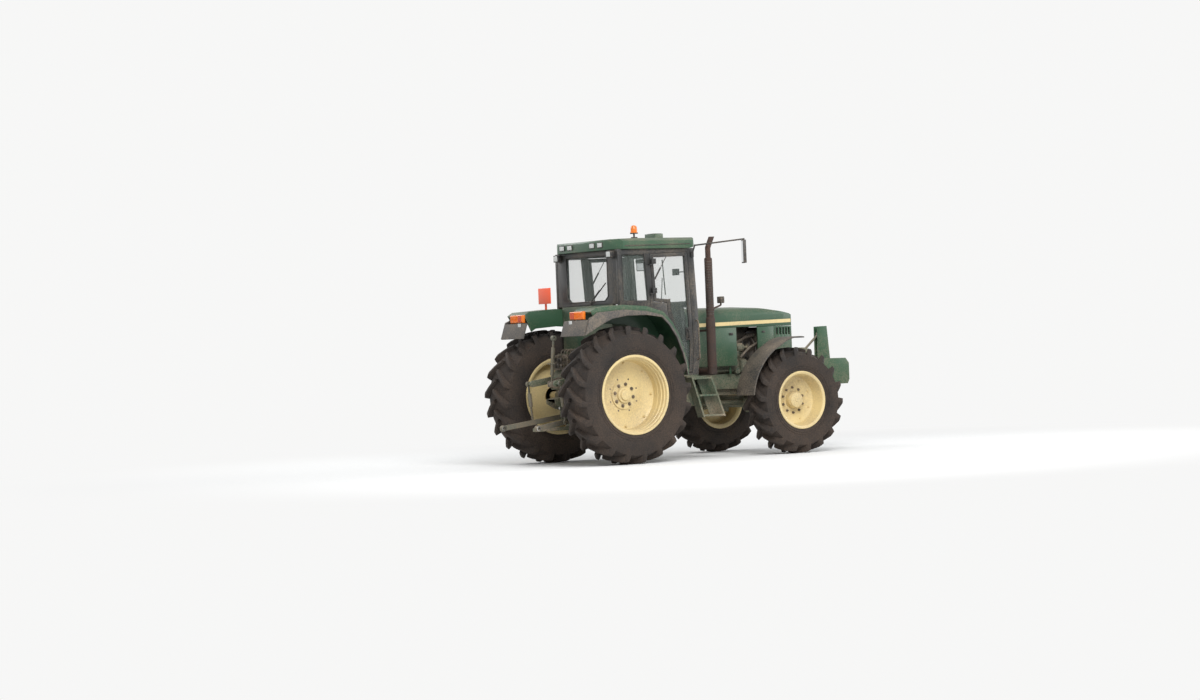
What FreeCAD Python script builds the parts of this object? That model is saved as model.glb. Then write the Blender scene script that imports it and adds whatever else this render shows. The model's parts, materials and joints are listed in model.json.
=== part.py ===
import FreeCAD, Part
import math
import os

V = FreeCAD.Vector

# Farm tractor, in millimetres. X runs forward, Y to the driver's left, Z up, and z = 0 is the
# floor. Everything is drawn from the rear axle (x = 0); the last step shifts it by ORIGIN_X, so
# that the origin is under the middle of the whole machine.

# Wheels
WHEELBASE = 2650.0
REAR_TYRE_R = 885.0
REAR_TYRE_W = 528.0
REAR_WHEEL_Y = 920.0
REAR_RIM_R = 508.0
REAR_RIM_W = 460.0
REAR_LUG_COUNT = 20
FRONT_TYRE_R = 705.0
FRONT_TYRE_W = 430.0
FRONT_WHEEL_Y = 945.0
FRONT_RIM_R = 381.0
FRONT_RIM_W = 386.0
FRONT_LUG_COUNT = 18
LUG_HEIGHT = 42.0

# Running gaps: between faces that meet at rest, and round a pin
SEAT_GAP = 0.3
PIN_GAP = 0.05
LOOSE_GAP = 1.0

# Rear axle and transmission
TRUMPET_R = 100.0
TRUMPET_END_Y = 640.0
AXLE_SHAFT_R = 62.0
AXLE_SHAFT_START = 560.0
SPINDLE_R = 45.0
SPINDLE_END = 900.0
GEARBOX_HALF = 200.0
GEARBOX_TOP = 1000.0
GEARBOX_BOTTOM = 620.0
GEARBOX_FRONT = 1400.0
AXLE_CASE_HALF = 260.0

# Front axle and steering
KINGPIN_Y = 740.0
KINGPIN_R = 25.0
KNUCKLE_R = 62.0
KNUCKLE_HALF = 120.0
BEAM_R = 75.0
DIFF_R = 160.0
STEER_ARM = 270.0
TIE_ROD_R = 16.0
TRACK_PIN_R = 11.0

# Frame and engine
RAIL_HALF = 240.0
RAIL_T = RAIL_HALF - GEARBOX_HALF - SEAT_GAP
RAIL_BOTTOM = 880.0
RAIL_TOP = 1080.0
RAIL_FRONT = WHEELBASE + 650.0
ENGINE_HALF = 255.0
ENGINE_FRONT = WHEELBASE - 220.0
CYLINDER_COUNT = 6
RADIATOR_REAR = WHEELBASE - 30.0

# Hood and nose
HOOD_HALF = 365.0
HOOD_REAR = 1380.0
NOSE_REAR = WHEELBASE + 160.0
NOSE_CORNER = WHEELBASE + 475.0
NOSE_FRONT = WHEELBASE + 570.0
GRILLE_TOP = 1680.0
HOOD_TOP = 1982.0
HOOD_SPLIT = 1705.0
PANEL_BOTTOM = 1190.0
SHEET = 22.0

# Cab
CAB_HALF = 760.0
CAB_LOW_HALF = 600.0
CAB_REAR = 70.0
CAB_FLOOR = 1080.0
CAB_TOP = 2760.0
CAB_WALL = 50.0
FLOOR_T = 60.0
GLASS_T = 8.0
ROOF_HALF = CAB_HALF + 40.0
ROOF_REAR = 0.0
ROOF_FRONT = 1315.0
DOOR_GAP = 6.0
HINGE_R = 14.0

# Rear fenders
FENDER_OUT = 1030.0
FENDER_T = 24.0
FENDER_END = 1110.0

# Rear hitch
ROCKSHAFT = (-250.0, 1120.0)
LINK_PIVOT = (-200.0, 620.0)
LIFT_ARM = 400.0
LIFT_SLOPE = -8.0
LINK_LENGTH = 840.0
LINK_FRONT_Y = 300.0
LINK_REAR_Y = 430.0
LINK_BALL_R = 18.5
HITCH_PIN_R = 16.0
ROCKSHAFT_R = 30.0
LIFT_CASE_HALF = 230.0
TOP_LINK_PIN = (-530.0, 1050.0)
TOP_LINK_LENGTH = 600.0
TOP_LINK_LEAN = 5.0
TOP_BALL_R = 16.0
PTO_Z = 740.0
PTO_R = 17.5
PTO_JOURNAL_R = 22.0
PTO_START = 150.0
PTO_STEP = -312.0
DRAWBAR_Z = 450.0
DRAWBAR_END = -820.0
DRAWBAR_PIN_R = 16.5

# Front linkage and ballast
FRONT_PIVOT = (RAIL_FRONT - 33.0, 740.0)
FRONT_LINK = (253.0, 213.0)
FRONT_TOP_PIN = (RAIL_FRONT + 276.0, 1356.0)
FRONT_ARM_Y = 265.0
FRONT_ARM_T = 24.0
FRONT_PIN_R = 14.0
BLOCK_REAR = RAIL_FRONT + 260.0
BLOCK_FRONT = BLOCK_REAR + 440.0
BLOCK_HALF = 450.0
BLOCK_BOTTOM = 880.0
BLOCK_TOP = 1232.0

# Exhaust
EXHAUST = (1585.0, -620.0)

REAR_END = LINK_PIVOT[0] - LINK_LENGTH * math.cos(math.radians(LIFT_SLOPE)) - 2.2 * LINK_BALL_R
ORIGIN_X = (BLOCK_FRONT + REAR_END) / 2.0


def box(x0, x1, y0, y1, z0, z1):
    """Box between two corners."""
    return Part.makeBox(x1 - x0, y1 - y0, z1 - z0, V(x0, y0, z0))


def face_of(points):
    """Flat face through a closed ring of points."""
    return Part.Face(Part.makePolygon(list(points) + [points[0]]))


def side_prism(outline, y0, y1):
    """Side-view outline (x, z) carried across from y0 to y1."""
    return face_of([V(x, y0, z) for x, z in outline]).extrude(V(0, y1 - y0, 0))


def end_prism(outline, x0, x1):
    """End-view outline (y, z) carried along from x0 to x1."""
    return face_of([V(x0, y, z) for y, z in outline]).extrude(V(x1 - x0, 0, 0))


def plan_prism(outline, z0, z1):
    """Plan outline (x, y) raised from z0 to z1."""
    return face_of([V(x, y, z0) for x, y in outline]).extrude(V(0, 0, z1 - z0))


def rod(start, end, radius):
    """Round bar between two points."""
    a = V(*start)
    b = V(*end)
    return Part.makeCylinder(radius, (b - a).Length, a, b - a)


def cross_pin(x, z, radius, y0, y1):
    """Round bar across the machine at (x, z)."""
    return Part.makeCylinder(radius, y1 - y0, V(x, y0, z), V(0, 1, 0))


def flat_bar(start, end, radius, sides=8):
    """Bar of flats between two points, for cast and rough parts that turn in nothing."""
    a = V(*start)
    along = V(*end) - a
    u = along.cross(V(0, 1, 0))
    if u.Length < 0.5 * along.Length:
        u = along.cross(V(0, 0, 1))
    u.normalize()
    v = u.cross(along).normalize()
    corners = []
    for k in range(sides):
        t = 2 * math.pi * (k + 0.5) / sides
        corners.append(a + u * (radius * math.cos(t)) + v * (radius * math.sin(t)))
    return face_of(corners).extrude(along)


def boss(x, z, radius, y0, y1):
    """Eye of twelve flats across the machine at (x, z)."""
    return flat_bar((x, y0, z), (x, y1, z), radius, 12)


def link_plate(a, b, radius, y0, y1):
    """Flat link with rounded ends between two (x, z) points, its thickness across the machine."""
    heading = math.atan2(b[1] - a[1], b[0] - a[0])
    outline = []
    for (x, z), turn in ((b, 0.0), (a, math.pi)):
        for k in range(-2, 3):
            t = heading + turn + k * math.pi / 4
            outline.append((x + radius * math.cos(t), z + radius * math.sin(t)))
    return side_prism(outline, y0, y1)


def fuse(shapes):
    """One shape from several that touch."""
    body = shapes[0]
    if len(shapes) > 1:
        body = body.multiFuse(shapes[1:])
    return body.removeSplitter()


def mirrored(shape):
    """The same piece on the other side of the machine."""
    return shape.mirror(V(0, 0, 0), V(0, 1, 0))


def both_sides(shape):
    """A left piece and its mirrored right one, as one group."""
    return Part.makeCompound([shape, mirrored(shape)])


def save(name, shape):
    """Shift a piece to the machine's own origin and write it."""
    placed = shape.copy()
    placed.translate(V(-ORIGIN_X, 0, 0))
    placed.exportStep("parts/" + name + ".step")


def save_pair(name, shape):
    """Write a left piece and its mirrored right one."""
    save(name + "_left", shape)
    save(name + "_right", mirrored(shape))


os.makedirs("parts", exist_ok=True)


# Wheels. Turned parts are rings of flats about the wheel's axle, one flat for each tread bar of a
# row, so that a large tyre stays light
def ring(profile, flats, turns=None):
    """Ring of flats about the Y axis at height 0, from a closed (across, radius) profile; turns
    holds each profile point's own turn about the axle, in flats."""
    turns = turns or [0.5] * len(profile)
    step = 2 * math.pi / flats
    rows = []
    for k in range(flats):
        angles = [(k + turn) * step for turn in turns]
        rows.append([V(r * math.sin(a), w, r * math.cos(a)) for (w, r), a in zip(profile, angles)])
    faces = []
    count = len(profile)
    for k in range(flats):
        near = rows[k]
        far = rows[(k + 1) % flats]
        for i in range(count):
            j = (i + 1) % count
            if turns[i] == turns[j]:
                faces.append(face_of([near[i], near[j], far[j], far[i]]))
            else:
                faces.append(face_of([near[i], near[j], far[j]]))
                faces.append(face_of([near[i], far[j], far[i]]))
    return outward(faces)


def outward(faces):
    """Solid inside a closed set of faces."""
    solid = Part.Solid(Part.Shell(faces))
    if solid.Volume < 0:
        solid.reverse()
    return solid


def lug(radius, width, start, step, side):
    """One tread bar, swept back from the centre to the shoulder within its own flat."""
    half = width / 2.0
    # columns: across and radius of the foot, across and radius of the top, place along the flat
    ends = [(0.06 * half, radius - 75, 0.03 * half, radius, 0.86),
            (0.84 * half, radius - 120, half, radius - 14, 0.14)]
    corners = []
    for foot_w, foot_r, top_w, top_r, share in ends:
        middle = start + share * step
        row = []
        for w, r, reach in ((foot_w, foot_r, -30), (foot_w, foot_r, 30), (top_w, top_r, 23), (top_w, top_r, -23)):
            a = middle + reach / r
            row.append(V(r * math.sin(a), side * w, r * math.cos(a)))
        corners.append(row)
    near, far = corners
    faces = []
    for row in corners:
        faces.append(face_of([row[0], row[1], row[2]]))
        faces.append(face_of([row[0], row[2], row[3]]))
    for i in range(4):
        j = (i + 1) % 4
        faces.append(face_of([near[i], near[j], far[j]]))
        faces.append(face_of([near[i], far[j], far[i]]))
    return outward(faces)


def tyre(radius, width, rim_radius, rim_width, lugs):
    """Carcass with two staggered rows of tread bars, about the Y axis at height 0."""
    half = width / 2.0
    bead = rim_radius - 28.0 + SEAT_GAP
    bead_half = rim_width / 2.0 - SEAT_GAP
    body = radius - LUG_HEIGHT
    belly = (radius + rim_radius) / 2.0 - 12.0
    # the left and right halves of the tread are half a flat apart
    carcass = [
        (-bead_half, bead), (-bead_half, rim_radius), (-half, belly), (-0.92 * half, body - 44), (-4, body),
        (4, body), (0.92 * half, body - 44), (half, belly), (bead_half, rim_radius), (bead_half, bead),
    ]
    turns = [0.5, 0.5, 0.5, 0.5, 0.5, 1.0, 1.0, 0.5, 0.5, 0.5]
    step = 2 * math.pi / lugs
    bars = []
    for k in range(lugs):
        bars.append(lug(radius, width, k * step, step, 1))
        bars.append(lug(radius, width, (k + 0.5) * step, step, -1))
    return ring(carcass, lugs, turns).multiFuse(bars)


def rim(rim_radius, rim_width, flats, disc, dish, disc_r, hub_r):
    """Rim with its flanges and welded disc; disc is the disc's place across, dish its depth."""
    half = rim_width / 2.0
    seat = rim_radius - 28.0
    profile = [
        (-half - 12, rim_radius), (-half, rim_radius), (-half, seat), (half, seat),
        (half, rim_radius), (half + 12, rim_radius), (half + 12, seat - 16), (disc + dish + 30, seat - 30),
        (disc, disc_r), (disc, hub_r), (disc - 16, hub_r), (disc - 16, disc_r),
        (disc + dish, seat - 30), (-half - 12, seat - 16),
    ]
    return ring(profile, flats)


def wheel_places():
    """Solids of the left wheels in place; outward is +Y."""
    rear_tyre = tyre(REAR_TYRE_R, REAR_TYRE_W, REAR_RIM_R, REAR_RIM_W, REAR_LUG_COUNT)
    rear_rim = rim(REAR_RIM_R, REAR_RIM_W, REAR_LUG_COUNT, -62.0, 45.0, 330.0, 110.0)
    stub = flat_bar((0, -88, 0), (0, -62, 0), 120, REAR_LUG_COUNT)
    shaft_start = AXLE_SHAFT_START + 1 - REAR_WHEEL_Y
    shaft = Part.makeCylinder(AXLE_SHAFT_R, -80 - shaft_start, V(0, shaft_start, 0), V(0, 1, 0))
    cap = boss(0, 0, 70, -70, -10)
    rear_rim = fuse([rear_rim, stub, shaft, cap])
    front_tyre = tyre(FRONT_TYRE_R, FRONT_TYRE_W, FRONT_RIM_R, FRONT_RIM_W, FRONT_LUG_COUNT)
    front_rim = rim(FRONT_RIM_R, FRONT_RIM_W, FRONT_LUG_COUNT, -20.0, 40.0, 240.0, 90.0)
    drum_start = KINGPIN_Y + 72.0 - FRONT_WHEEL_Y
    drum = boss(0, 0, 125, drum_start, -20)
    hub = boss(0, 0, 105, -36, 84)
    front_rim = fuse([front_rim, drum, hub])
    bore_end = SPINDLE_END + 1 - FRONT_WHEEL_Y
    front_rim = front_rim.cut(Part.makeCylinder(SPINDLE_R + PIN_GAP, bore_end - drum_start + 5,
                                                V(0, drum_start - 5, 0), V(0, 1, 0)))
    for shape in (rear_tyre, rear_rim):
        shape.translate(V(0, REAR_WHEEL_Y, REAR_TYRE_R))
    for shape in (front_tyre, front_rim):
        shape.translate(V(WHEELBASE, FRONT_WHEEL_Y, FRONT_TYRE_R))
    return rear_tyre, rear_rim, front_tyre, front_rim


rear_tyre, rear_rim, front_tyre, front_rim = wheel_places()
save_pair("rear_tyre", rear_tyre)
save_pair("rear_rim", rear_rim)
save_pair("front_tyre", front_tyre)
save_pair("front_rim", front_rim)


# Transmission, rear axle and the rubber blocks that carry the cab
def transmission():
    gearbox = side_prism(
        [(-300, GEARBOX_BOTTOM), (250, GEARBOX_BOTTOM), (GEARBOX_FRONT, FRONT_TYRE_R - 25),
         (GEARBOX_FRONT, GEARBOX_TOP), (-300, GEARBOX_TOP)], -GEARBOX_HALF, GEARBOX_HALF)
    case = side_prism([(-220, 700), (-150, 640), (150, 640), (220, 700), (220, 1060), (-220, 1060)],
                      -AXLE_CASE_HALF, AXLE_CASE_HALF)
    lift_case = side_prism([(-400, 980), (30, 980), (30, 1180), (-60, 1230), (-330, 1230), (-400, 1150)],
                           -LIFT_CASE_HALF, LIFT_CASE_HALF)
    parts = [gearbox, case, lift_case]
    for side in (-1, 1):
        start = (0, side * (AXLE_CASE_HALF - 10), REAR_TYRE_R)
        parts.append(flat_bar(start, (0, side * 340, REAR_TYRE_R), 140, 12))
        parts.append(flat_bar(start, (0, side * TRUMPET_END_Y, REAR_TYRE_R), TRUMPET_R, 12))
        block_z = REAR_TYRE_R + TRUMPET_R - 20
        parts.append(box(80 - 45, 80 + 45, side * 480 - 45, side * 480 + 45, block_z - 40,
                         CAB_FLOOR - SEAT_GAP))
        parts.append(box(1110, 1200, side * 150 - 45, side * 150 + 45, GEARBOX_TOP - 5,
                         CAB_FLOOR - SEAT_GAP))
    body = fuse(parts)
    for side in (-1, 1):
        bore_y = sorted((side * AXLE_SHAFT_START, side * (TRUMPET_END_Y + 5)))
        body = body.cut(cross_pin(0, REAR_TYRE_R, AXLE_SHAFT_R + PIN_GAP, bore_y[0], bore_y[1]))
    body = body.cut(cross_pin(ROCKSHAFT[0], ROCKSHAFT[1], ROCKSHAFT_R + PIN_GAP, -300, 300))
    return body.cut(rod((PTO_START, 0, PTO_Z), (-310, 0, PTO_Z), PTO_JOURNAL_R + PIN_GAP))


save("transmission_housing", transmission())


# Hitch frame under the axle: link brackets, drawbar with its hanger, shield over the take-off shaft
def hitch_frame():
    parts = []
    px, pz = LINK_PIVOT
    for side in (-1, 1):
        plate_y = sorted((side * (AXLE_CASE_HALF + SEAT_GAP), side * (LINK_FRONT_Y - 25)))
        pin_y = sorted((side * (AXLE_CASE_HALF + 2), side * (LINK_FRONT_Y + 30)))
        parts.append(side_prism([(px - 45, pz - 45), (px + 45, pz - 45), (px + 220, pz + 40),
                                 (px + 220, pz + 75), (px + 60, pz + 75), (px - 45, pz + 45)],
                                plate_y[0], plate_y[1]))
        parts.append(cross_pin(px, pz, HITCH_PIN_R, pin_y[0], pin_y[1]))
    parts.append(box(px + 60, px + 200, -LINK_FRONT_Y + 25, LINK_FRONT_Y - 25, GEARBOX_BOTTOM - 120,
                     GEARBOX_BOTTOM - SEAT_GAP))
    parts.append(box(px - 100, px + 320, -70, 70, DRAWBAR_Z + 45, GEARBOX_BOTTOM - 60))
    bar = box(DRAWBAR_END, 250, -45, 45, DRAWBAR_Z, DRAWBAR_Z + 45)
    hole = Part.makeCylinder(DRAWBAR_PIN_R, 60, V(DRAWBAR_END + 55, 0, DRAWBAR_Z - 5))
    parts.append(bar)
    return fuse(parts).cut(hole)


def pto_guard():
    outer = side_prism([(-560, PTO_Z + 120), (-300 - SEAT_GAP, PTO_Z + 160),
                        (-300 - SEAT_GAP, PTO_Z - 40), (-430, PTO_Z - 10), (-560, PTO_Z + 60)], -110, 110)
    inner = side_prism([(-600, PTO_Z + 108), (-312, PTO_Z + 148), (-312, PTO_Z - 80), (-600, PTO_Z - 80)],
                       -98, 98)
    return outer.cut(inner).cut(rod((-290, 0, PTO_Z), (-330, 0, PTO_Z), PTO_JOURNAL_R + 9))


def pto_shaft():
    journal = rod((PTO_START - 1, 0, PTO_Z), (PTO_STEP, 0, PTO_Z), PTO_JOURNAL_R)
    return fuse([journal, rod((PTO_STEP, 0, PTO_Z), (-430, 0, PTO_Z), PTO_R)])


save("hitch_frame", Part.makeCompound([hitch_frame(), pto_guard()]))
save("pto_shaft", pto_shaft())


# Rear lift: arms on the rockshaft, hanging rods and the two lower links, which stay parallel
SLOPE = math.radians(LIFT_SLOPE)
ARM_END = (ROCKSHAFT[0] - LIFT_ARM * math.cos(SLOPE), ROCKSHAFT[1] + LIFT_ARM * math.sin(SLOPE))
ROD_END = (LINK_PIVOT[0] - LIFT_ARM * math.cos(SLOPE), LINK_PIVOT[1] + LIFT_ARM * math.sin(SLOPE))
ROD_Y = LINK_FRONT_Y + (LINK_REAR_Y - LINK_FRONT_Y) * LIFT_ARM / LINK_LENGTH + 37


def lift_arms():
    """Rockshaft through the lift case, with an arm and its pin at each end."""
    parts = [cross_pin(ROCKSHAFT[0], ROCKSHAFT[1], ROCKSHAFT_R, -LIFT_CASE_HALF - 5, LIFT_CASE_HALF + 5)]
    for side in (-1, 1):
        boss_y = sorted((side * (LIFT_CASE_HALF + SEAT_GAP), side * (LINK_FRONT_Y + 40)))
        pin_y = sorted((side * 290, side * (ROD_Y + 20)))
        parts.append(link_plate(ROCKSHAFT, ARM_END, 42, side * 290 - 18, side * 290 + 18))
        parts.append(boss(ROCKSHAFT[0], ROCKSHAFT[1], 60, boss_y[0], boss_y[1]))
        parts.append(cross_pin(ARM_END[0], ARM_END[1], HITCH_PIN_R, pin_y[0], pin_y[1]))
    return fuse(parts)


def lift_rods():
    rods = []
    for side in (-1, 1):
        y = side * ROD_Y
        top = boss(ARM_END[0], ARM_END[1], 35, y - 14, y + 14)
        low = boss(ROD_END[0], ROD_END[1], 31, y - 14, y + 14)
        bar = flat_bar((ARM_END[0], y, ARM_END[1]), (ROD_END[0], y, ROD_END[1]), 14)
        sleeve_top = (ARM_END[0] * 0.75 + ROD_END[0] * 0.25, y, ARM_END[1] * 0.75 + ROD_END[1] * 0.25)
        sleeve_low = (ARM_END[0] * 0.4 + ROD_END[0] * 0.6, y, ARM_END[1] * 0.4 + ROD_END[1] * 0.6)
        sleeve = flat_bar(sleeve_top, sleeve_low, 27)
        one = fuse([top, low, bar, sleeve])
        one = one.cut(cross_pin(ARM_END[0], ARM_END[1], HITCH_PIN_R + PIN_GAP, y - 20, y + 20))
        one = one.cut(cross_pin(ROD_END[0], ROD_END[1], HITCH_PIN_R + LOOSE_GAP, y - 20, y + 20))
        rods.append(one)
    return Part.makeCompound(rods)


def lower_links():
    links = []
    end = (LINK_PIVOT[0] - LINK_LENGTH * math.cos(SLOPE), LINK_PIVOT[1] + LINK_LENGTH * math.sin(SLOPE))
    for side in (-1, 1):
        eye = boss(LINK_PIVOT[0], LINK_PIVOT[1], 38, side * LINK_FRONT_Y - 20, side * LINK_FRONT_Y + 20)
        ball = boss(end[0], end[1], 2.2 * LINK_BALL_R, side * LINK_REAR_Y - 25, side * LINK_REAR_Y + 25)
        slope_y = (LINK_REAR_Y - LINK_FRONT_Y) / LINK_LENGTH
        front = V(LINK_PIVOT[0], side * LINK_FRONT_Y, LINK_PIVOT[1])
        back = V(end[0], side * LINK_REAR_Y, end[1])
        along = (back - front)
        across = V(0, 15, 0)
        up = V(-along.z, 0, along.x).normalize() * -32
        corners = [front + across + up, front - across + up, front - across - up, front + across - up]
        bar = Part.Face(Part.makePolygon(corners + [corners[0]])).extrude(along)
        station_y = LINK_FRONT_Y + slope_y * LIFT_ARM
        pin_y = sorted((side * station_y, side * (ROD_Y + 20)))
        pin = cross_pin(ROD_END[0], ROD_END[1], HITCH_PIN_R, pin_y[0], pin_y[1])
        link = fuse([eye, ball, bar, pin])
        link = link.cut(cross_pin(end[0], end[1], LINK_BALL_R, side * LINK_REAR_Y - 30, side * LINK_REAR_Y + 30))
        links.append(link.cut(cross_pin(LINK_PIVOT[0], LINK_PIVOT[1], HITCH_PIN_R + PIN_GAP,
                                        side * LINK_FRONT_Y - 30, side * LINK_FRONT_Y + 30)))
    return Part.makeCompound(links)


save("lift_arms", lift_arms())
save("lift_rods", lift_rods())
save("lower_links", lower_links())


def top_link():
    lean = math.radians(TOP_LINK_LEAN)
    px, pz = TOP_LINK_PIN
    end = (px + TOP_LINK_LENGTH * math.sin(lean), pz + TOP_LINK_LENGTH * math.cos(lean))

    def at(share):
        return (px + (end[0] - px) * share, 0, pz + (end[1] - pz) * share)

    low = boss(px, pz, 36, -22, 22)
    high = boss(end[0], end[1], 36, -22, 22)
    screws = flat_bar(at(0.05), at(0.95), 15)
    sleeve = flat_bar(at(0.2), at(0.8), 25)
    body = fuse([low, high, screws, sleeve])
    body = body.cut(cross_pin(px, pz, TOP_BALL_R + PIN_GAP, -40, 40))
    return body.cut(cross_pin(end[0], end[1], TOP_BALL_R, -40, 40))


save("top_link", top_link())


# Remote valves over the lift case, with the top link's bracket and the hook that stows it
def remote_valves():
    px, pz = TOP_LINK_PIN
    back = -400.0 - SEAT_GAP
    ear_outline = [(back, pz - 60), (back, pz + 90), (px - 30, pz + 40), (px - 40, pz - 20), (px, pz - 45)]
    parts = [side_prism(ear_outline, -52, -30), side_prism(ear_outline, 30, 52),
             box(back - 25, back, -52, 52, pz - 60, pz + 90),
             cross_pin(px, pz, TOP_BALL_R, -41, 41)]
    stack = box(-380, -230, -165, 165, 1230 + SEAT_GAP, 1430)
    parts_top = [stack]
    for y in (-110, -37, 37, 110):
        for z in (1290, 1370):
            parts_top.append(flat_bar((-380, y, z), (-432, y, z), 22))
    lean = math.radians(TOP_LINK_LEAN)
    hook_x = px + (1420 - pz) * math.tan(lean) + 25 / math.cos(lean) + SEAT_GAP
    parts_top.append(box(hook_x, -370, -14, 14, 1392, 1420))
    return Part.makeCompound([fuse(parts), fuse(parts_top)])


save("remote_valves", remote_valves())


# Front axle: beam with its drive case and forked ends, pivoted under the frame, and its drive shaft
def front_axle():
    z = FRONT_TYRE_R
    fork = KINGPIN_Y - KNUCKLE_R - 14.0
    ear_top = KNUCKLE_HALF + 1.0
    ear_t = 30.0
    beam = flat_bar((WHEELBASE, -fork + 10, z), (WHEELBASE, fork - 10, z), BEAM_R, 12)
    case = flat_bar((WHEELBASE - 70, 0, z), (WHEELBASE + 110, 0, z), DIFF_R, 16)
    nose = flat_bar((WHEELBASE - 60, 0, z), (WHEELBASE - 170, 0, z), 80, 12)
    pivot = flat_bar((WHEELBASE - 170, 0, z + DIFF_R + 2), (WHEELBASE + 190, 0, z + DIFF_R + 2), 40, 12)
    web = box(WHEELBASE - 60, WHEELBASE + 100, -45, 45, z + 120, z + DIFF_R + 45)
    parts = [beam, case, nose, pivot, web]
    for side in (-1, 1):
        wall = side_prism([(WHEELBASE - 46, z - ear_top - ear_t), (WHEELBASE + 60, z - ear_top - ear_t),
                           (WHEELBASE + 60, z + ear_top + ear_t), (WHEELBASE - 46, z + ear_top + ear_t)],
                          min(side * (fork - 34), side * fork), max(side * (fork - 34), side * fork))
        parts.append(wall)
        tip = [(WHEELBASE + dx, side * y) for dx, y in (
            (-54, fork - 20), (54, fork - 20), (54, KINGPIN_Y + 22), (22, KINGPIN_Y + 54), (-22, KINGPIN_Y + 54),
            (-54, KINGPIN_Y + 22))]
        for lift in (ear_top, -ear_top - ear_t):
            parts.append(plan_prism(tip, z + lift, z + lift + ear_t))
        parts.append(Part.makeCylinder(KINGPIN_R, 2 * ear_top + ear_t,
                                       V(WHEELBASE, side * KINGPIN_Y, z - ear_top - ear_t / 2)))
    parts.append(flat_bar((GEARBOX_FRONT + SEAT_GAP, 0, z), (WHEELBASE - 165, 0, z), 36))
    return fuse(parts)


save("front_axle_beam", front_axle())


# Steering: knuckles with their arms and the fenders' stays, and one track rod behind the axle
ARM_TIP_X = WHEELBASE - STEER_ARM
ARM_Z = FRONT_TYRE_R - 87.0
ARM_T = 24.0
FENDER_STAY_Y = 702.0


def knuckle():
    z = FRONT_TYRE_R
    barrel = flat_bar((WHEELBASE, KINGPIN_Y, z - KNUCKLE_HALF), (WHEELBASE, KINGPIN_Y, z + KNUCKLE_HALF),
                      KNUCKLE_R, 12)
    spindle = boss(WHEELBASE, z, 92, KINGPIN_Y, KINGPIN_Y + 71.5)
    arm = plan_prism([(WHEELBASE - 20, KINGPIN_Y - 30), (WHEELBASE - 20, KINGPIN_Y + 30),
                      (ARM_TIP_X, KINGPIN_Y + 24), (ARM_TIP_X - 20, KINGPIN_Y + 12),
                      (ARM_TIP_X - 20, KINGPIN_Y - 12), (ARM_TIP_X, KINGPIN_Y - 24)], ARM_Z - ARM_T, ARM_Z)
    pin = Part.makeCylinder(TRACK_PIN_R, 46, V(ARM_TIP_X, KINGPIN_Y, ARM_Z - 2))
    journal = cross_pin(WHEELBASE, z, SPINDLE_R, KINGPIN_Y + 40, SPINDLE_END)
    body = fuse([barrel, spindle, journal, arm, pin, fender_stay()])
    return body.cut(Part.makeCylinder(KINGPIN_R + PIN_GAP, 400, V(WHEELBASE, KINGPIN_Y, z - 200)))


def tie_rod():
    z = ARM_Z + 22
    bar = flat_bar((ARM_TIP_X, -KINGPIN_Y, z), (ARM_TIP_X, KINGPIN_Y, z), TIE_ROD_R)
    eyes = [flat_bar((ARM_TIP_X, side * KINGPIN_Y, z - 18), (ARM_TIP_X, side * KINGPIN_Y, z + 18), 27, 12)
            for side in (-1, 1)]
    body = fuse([bar] + eyes)
    body = body.cut(Part.makeCylinder(TRACK_PIN_R + PIN_GAP, 60, V(ARM_TIP_X, -KINGPIN_Y, z - 30)))
    return body.cut(Part.makeCylinder(TRACK_PIN_R + 1.5 * LOOSE_GAP, 60, V(ARM_TIP_X, KINGPIN_Y, z - 30)))


# Front fenders: one moulded arch over each front tyre, on a stay from the knuckle
FRONT_FENDER_Y = (745.0, 1145.0)
FRONT_FENDER_T = 16.0
# outer line of the arch from its low rear edge to its front tip: degrees up from straight ahead, and
# clearance over the tread
ARCH_REAR = [(173.1, 83.0), (147.2, 89.0), (113.3, 104.0)]
ARCH_FRONT = [(113.3, 104.0), (99.2, 137.0), (84.6, 139.0)]


def arch_line(points, inset, y):
    """Arc through three points of the arch, moved in towards the wheel."""
    moved = []
    for angle, clearance in points:
        r = FRONT_TYRE_R + clearance - inset
        a = math.radians(angle)
        moved.append(V(WHEELBASE + r * math.cos(a), y, FRONT_TYRE_R + r * math.sin(a)))
    return moved


def front_fender():
    y0, y1 = FRONT_FENDER_Y
    edges = []
    rear_out = arch_line(ARCH_REAR, 0, y0)
    front_out = arch_line(ARCH_FRONT, 0, y0)
    rear_in = arch_line(ARCH_REAR, FRONT_FENDER_T, y0)
    front_in = arch_line(ARCH_FRONT, FRONT_FENDER_T, y0)
    edges.append(Part.Arc(*rear_out).toShape())
    edges.append(Part.Arc(*front_out).toShape())
    edges.append(Part.LineSegment(front_out[2], front_in[2]).toShape())
    edges.append(Part.Arc(front_in[2], front_in[1], front_in[0]).toShape())
    edges.append(Part.Arc(rear_in[2], rear_in[1], rear_in[0]).toShape())
    edges.append(Part.LineSegment(rear_in[0], rear_out[0]).toShape())
    return Part.Face(Part.Wire(edges)).extrude(V(0, y1 - y0, 0))


def arch_inside(inset, y0, y1):
    """Everything between the wheel's centre and the arch's line moved in by inset."""
    rear = arch_line(ARCH_REAR, inset, y0)
    front = arch_line(ARCH_FRONT, inset, y0)
    centre = V(WHEELBASE, y0, FRONT_TYRE_R)
    edges = [
        Part.Arc(*rear).toShape(), Part.Arc(*front).toShape(),
        Part.LineSegment(front[2], centre).toShape(), Part.LineSegment(centre, rear[0]).toShape(),
    ]
    return Part.Face(Part.Wire(edges)).extrude(V(0, y1 - y0, 0))


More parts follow.
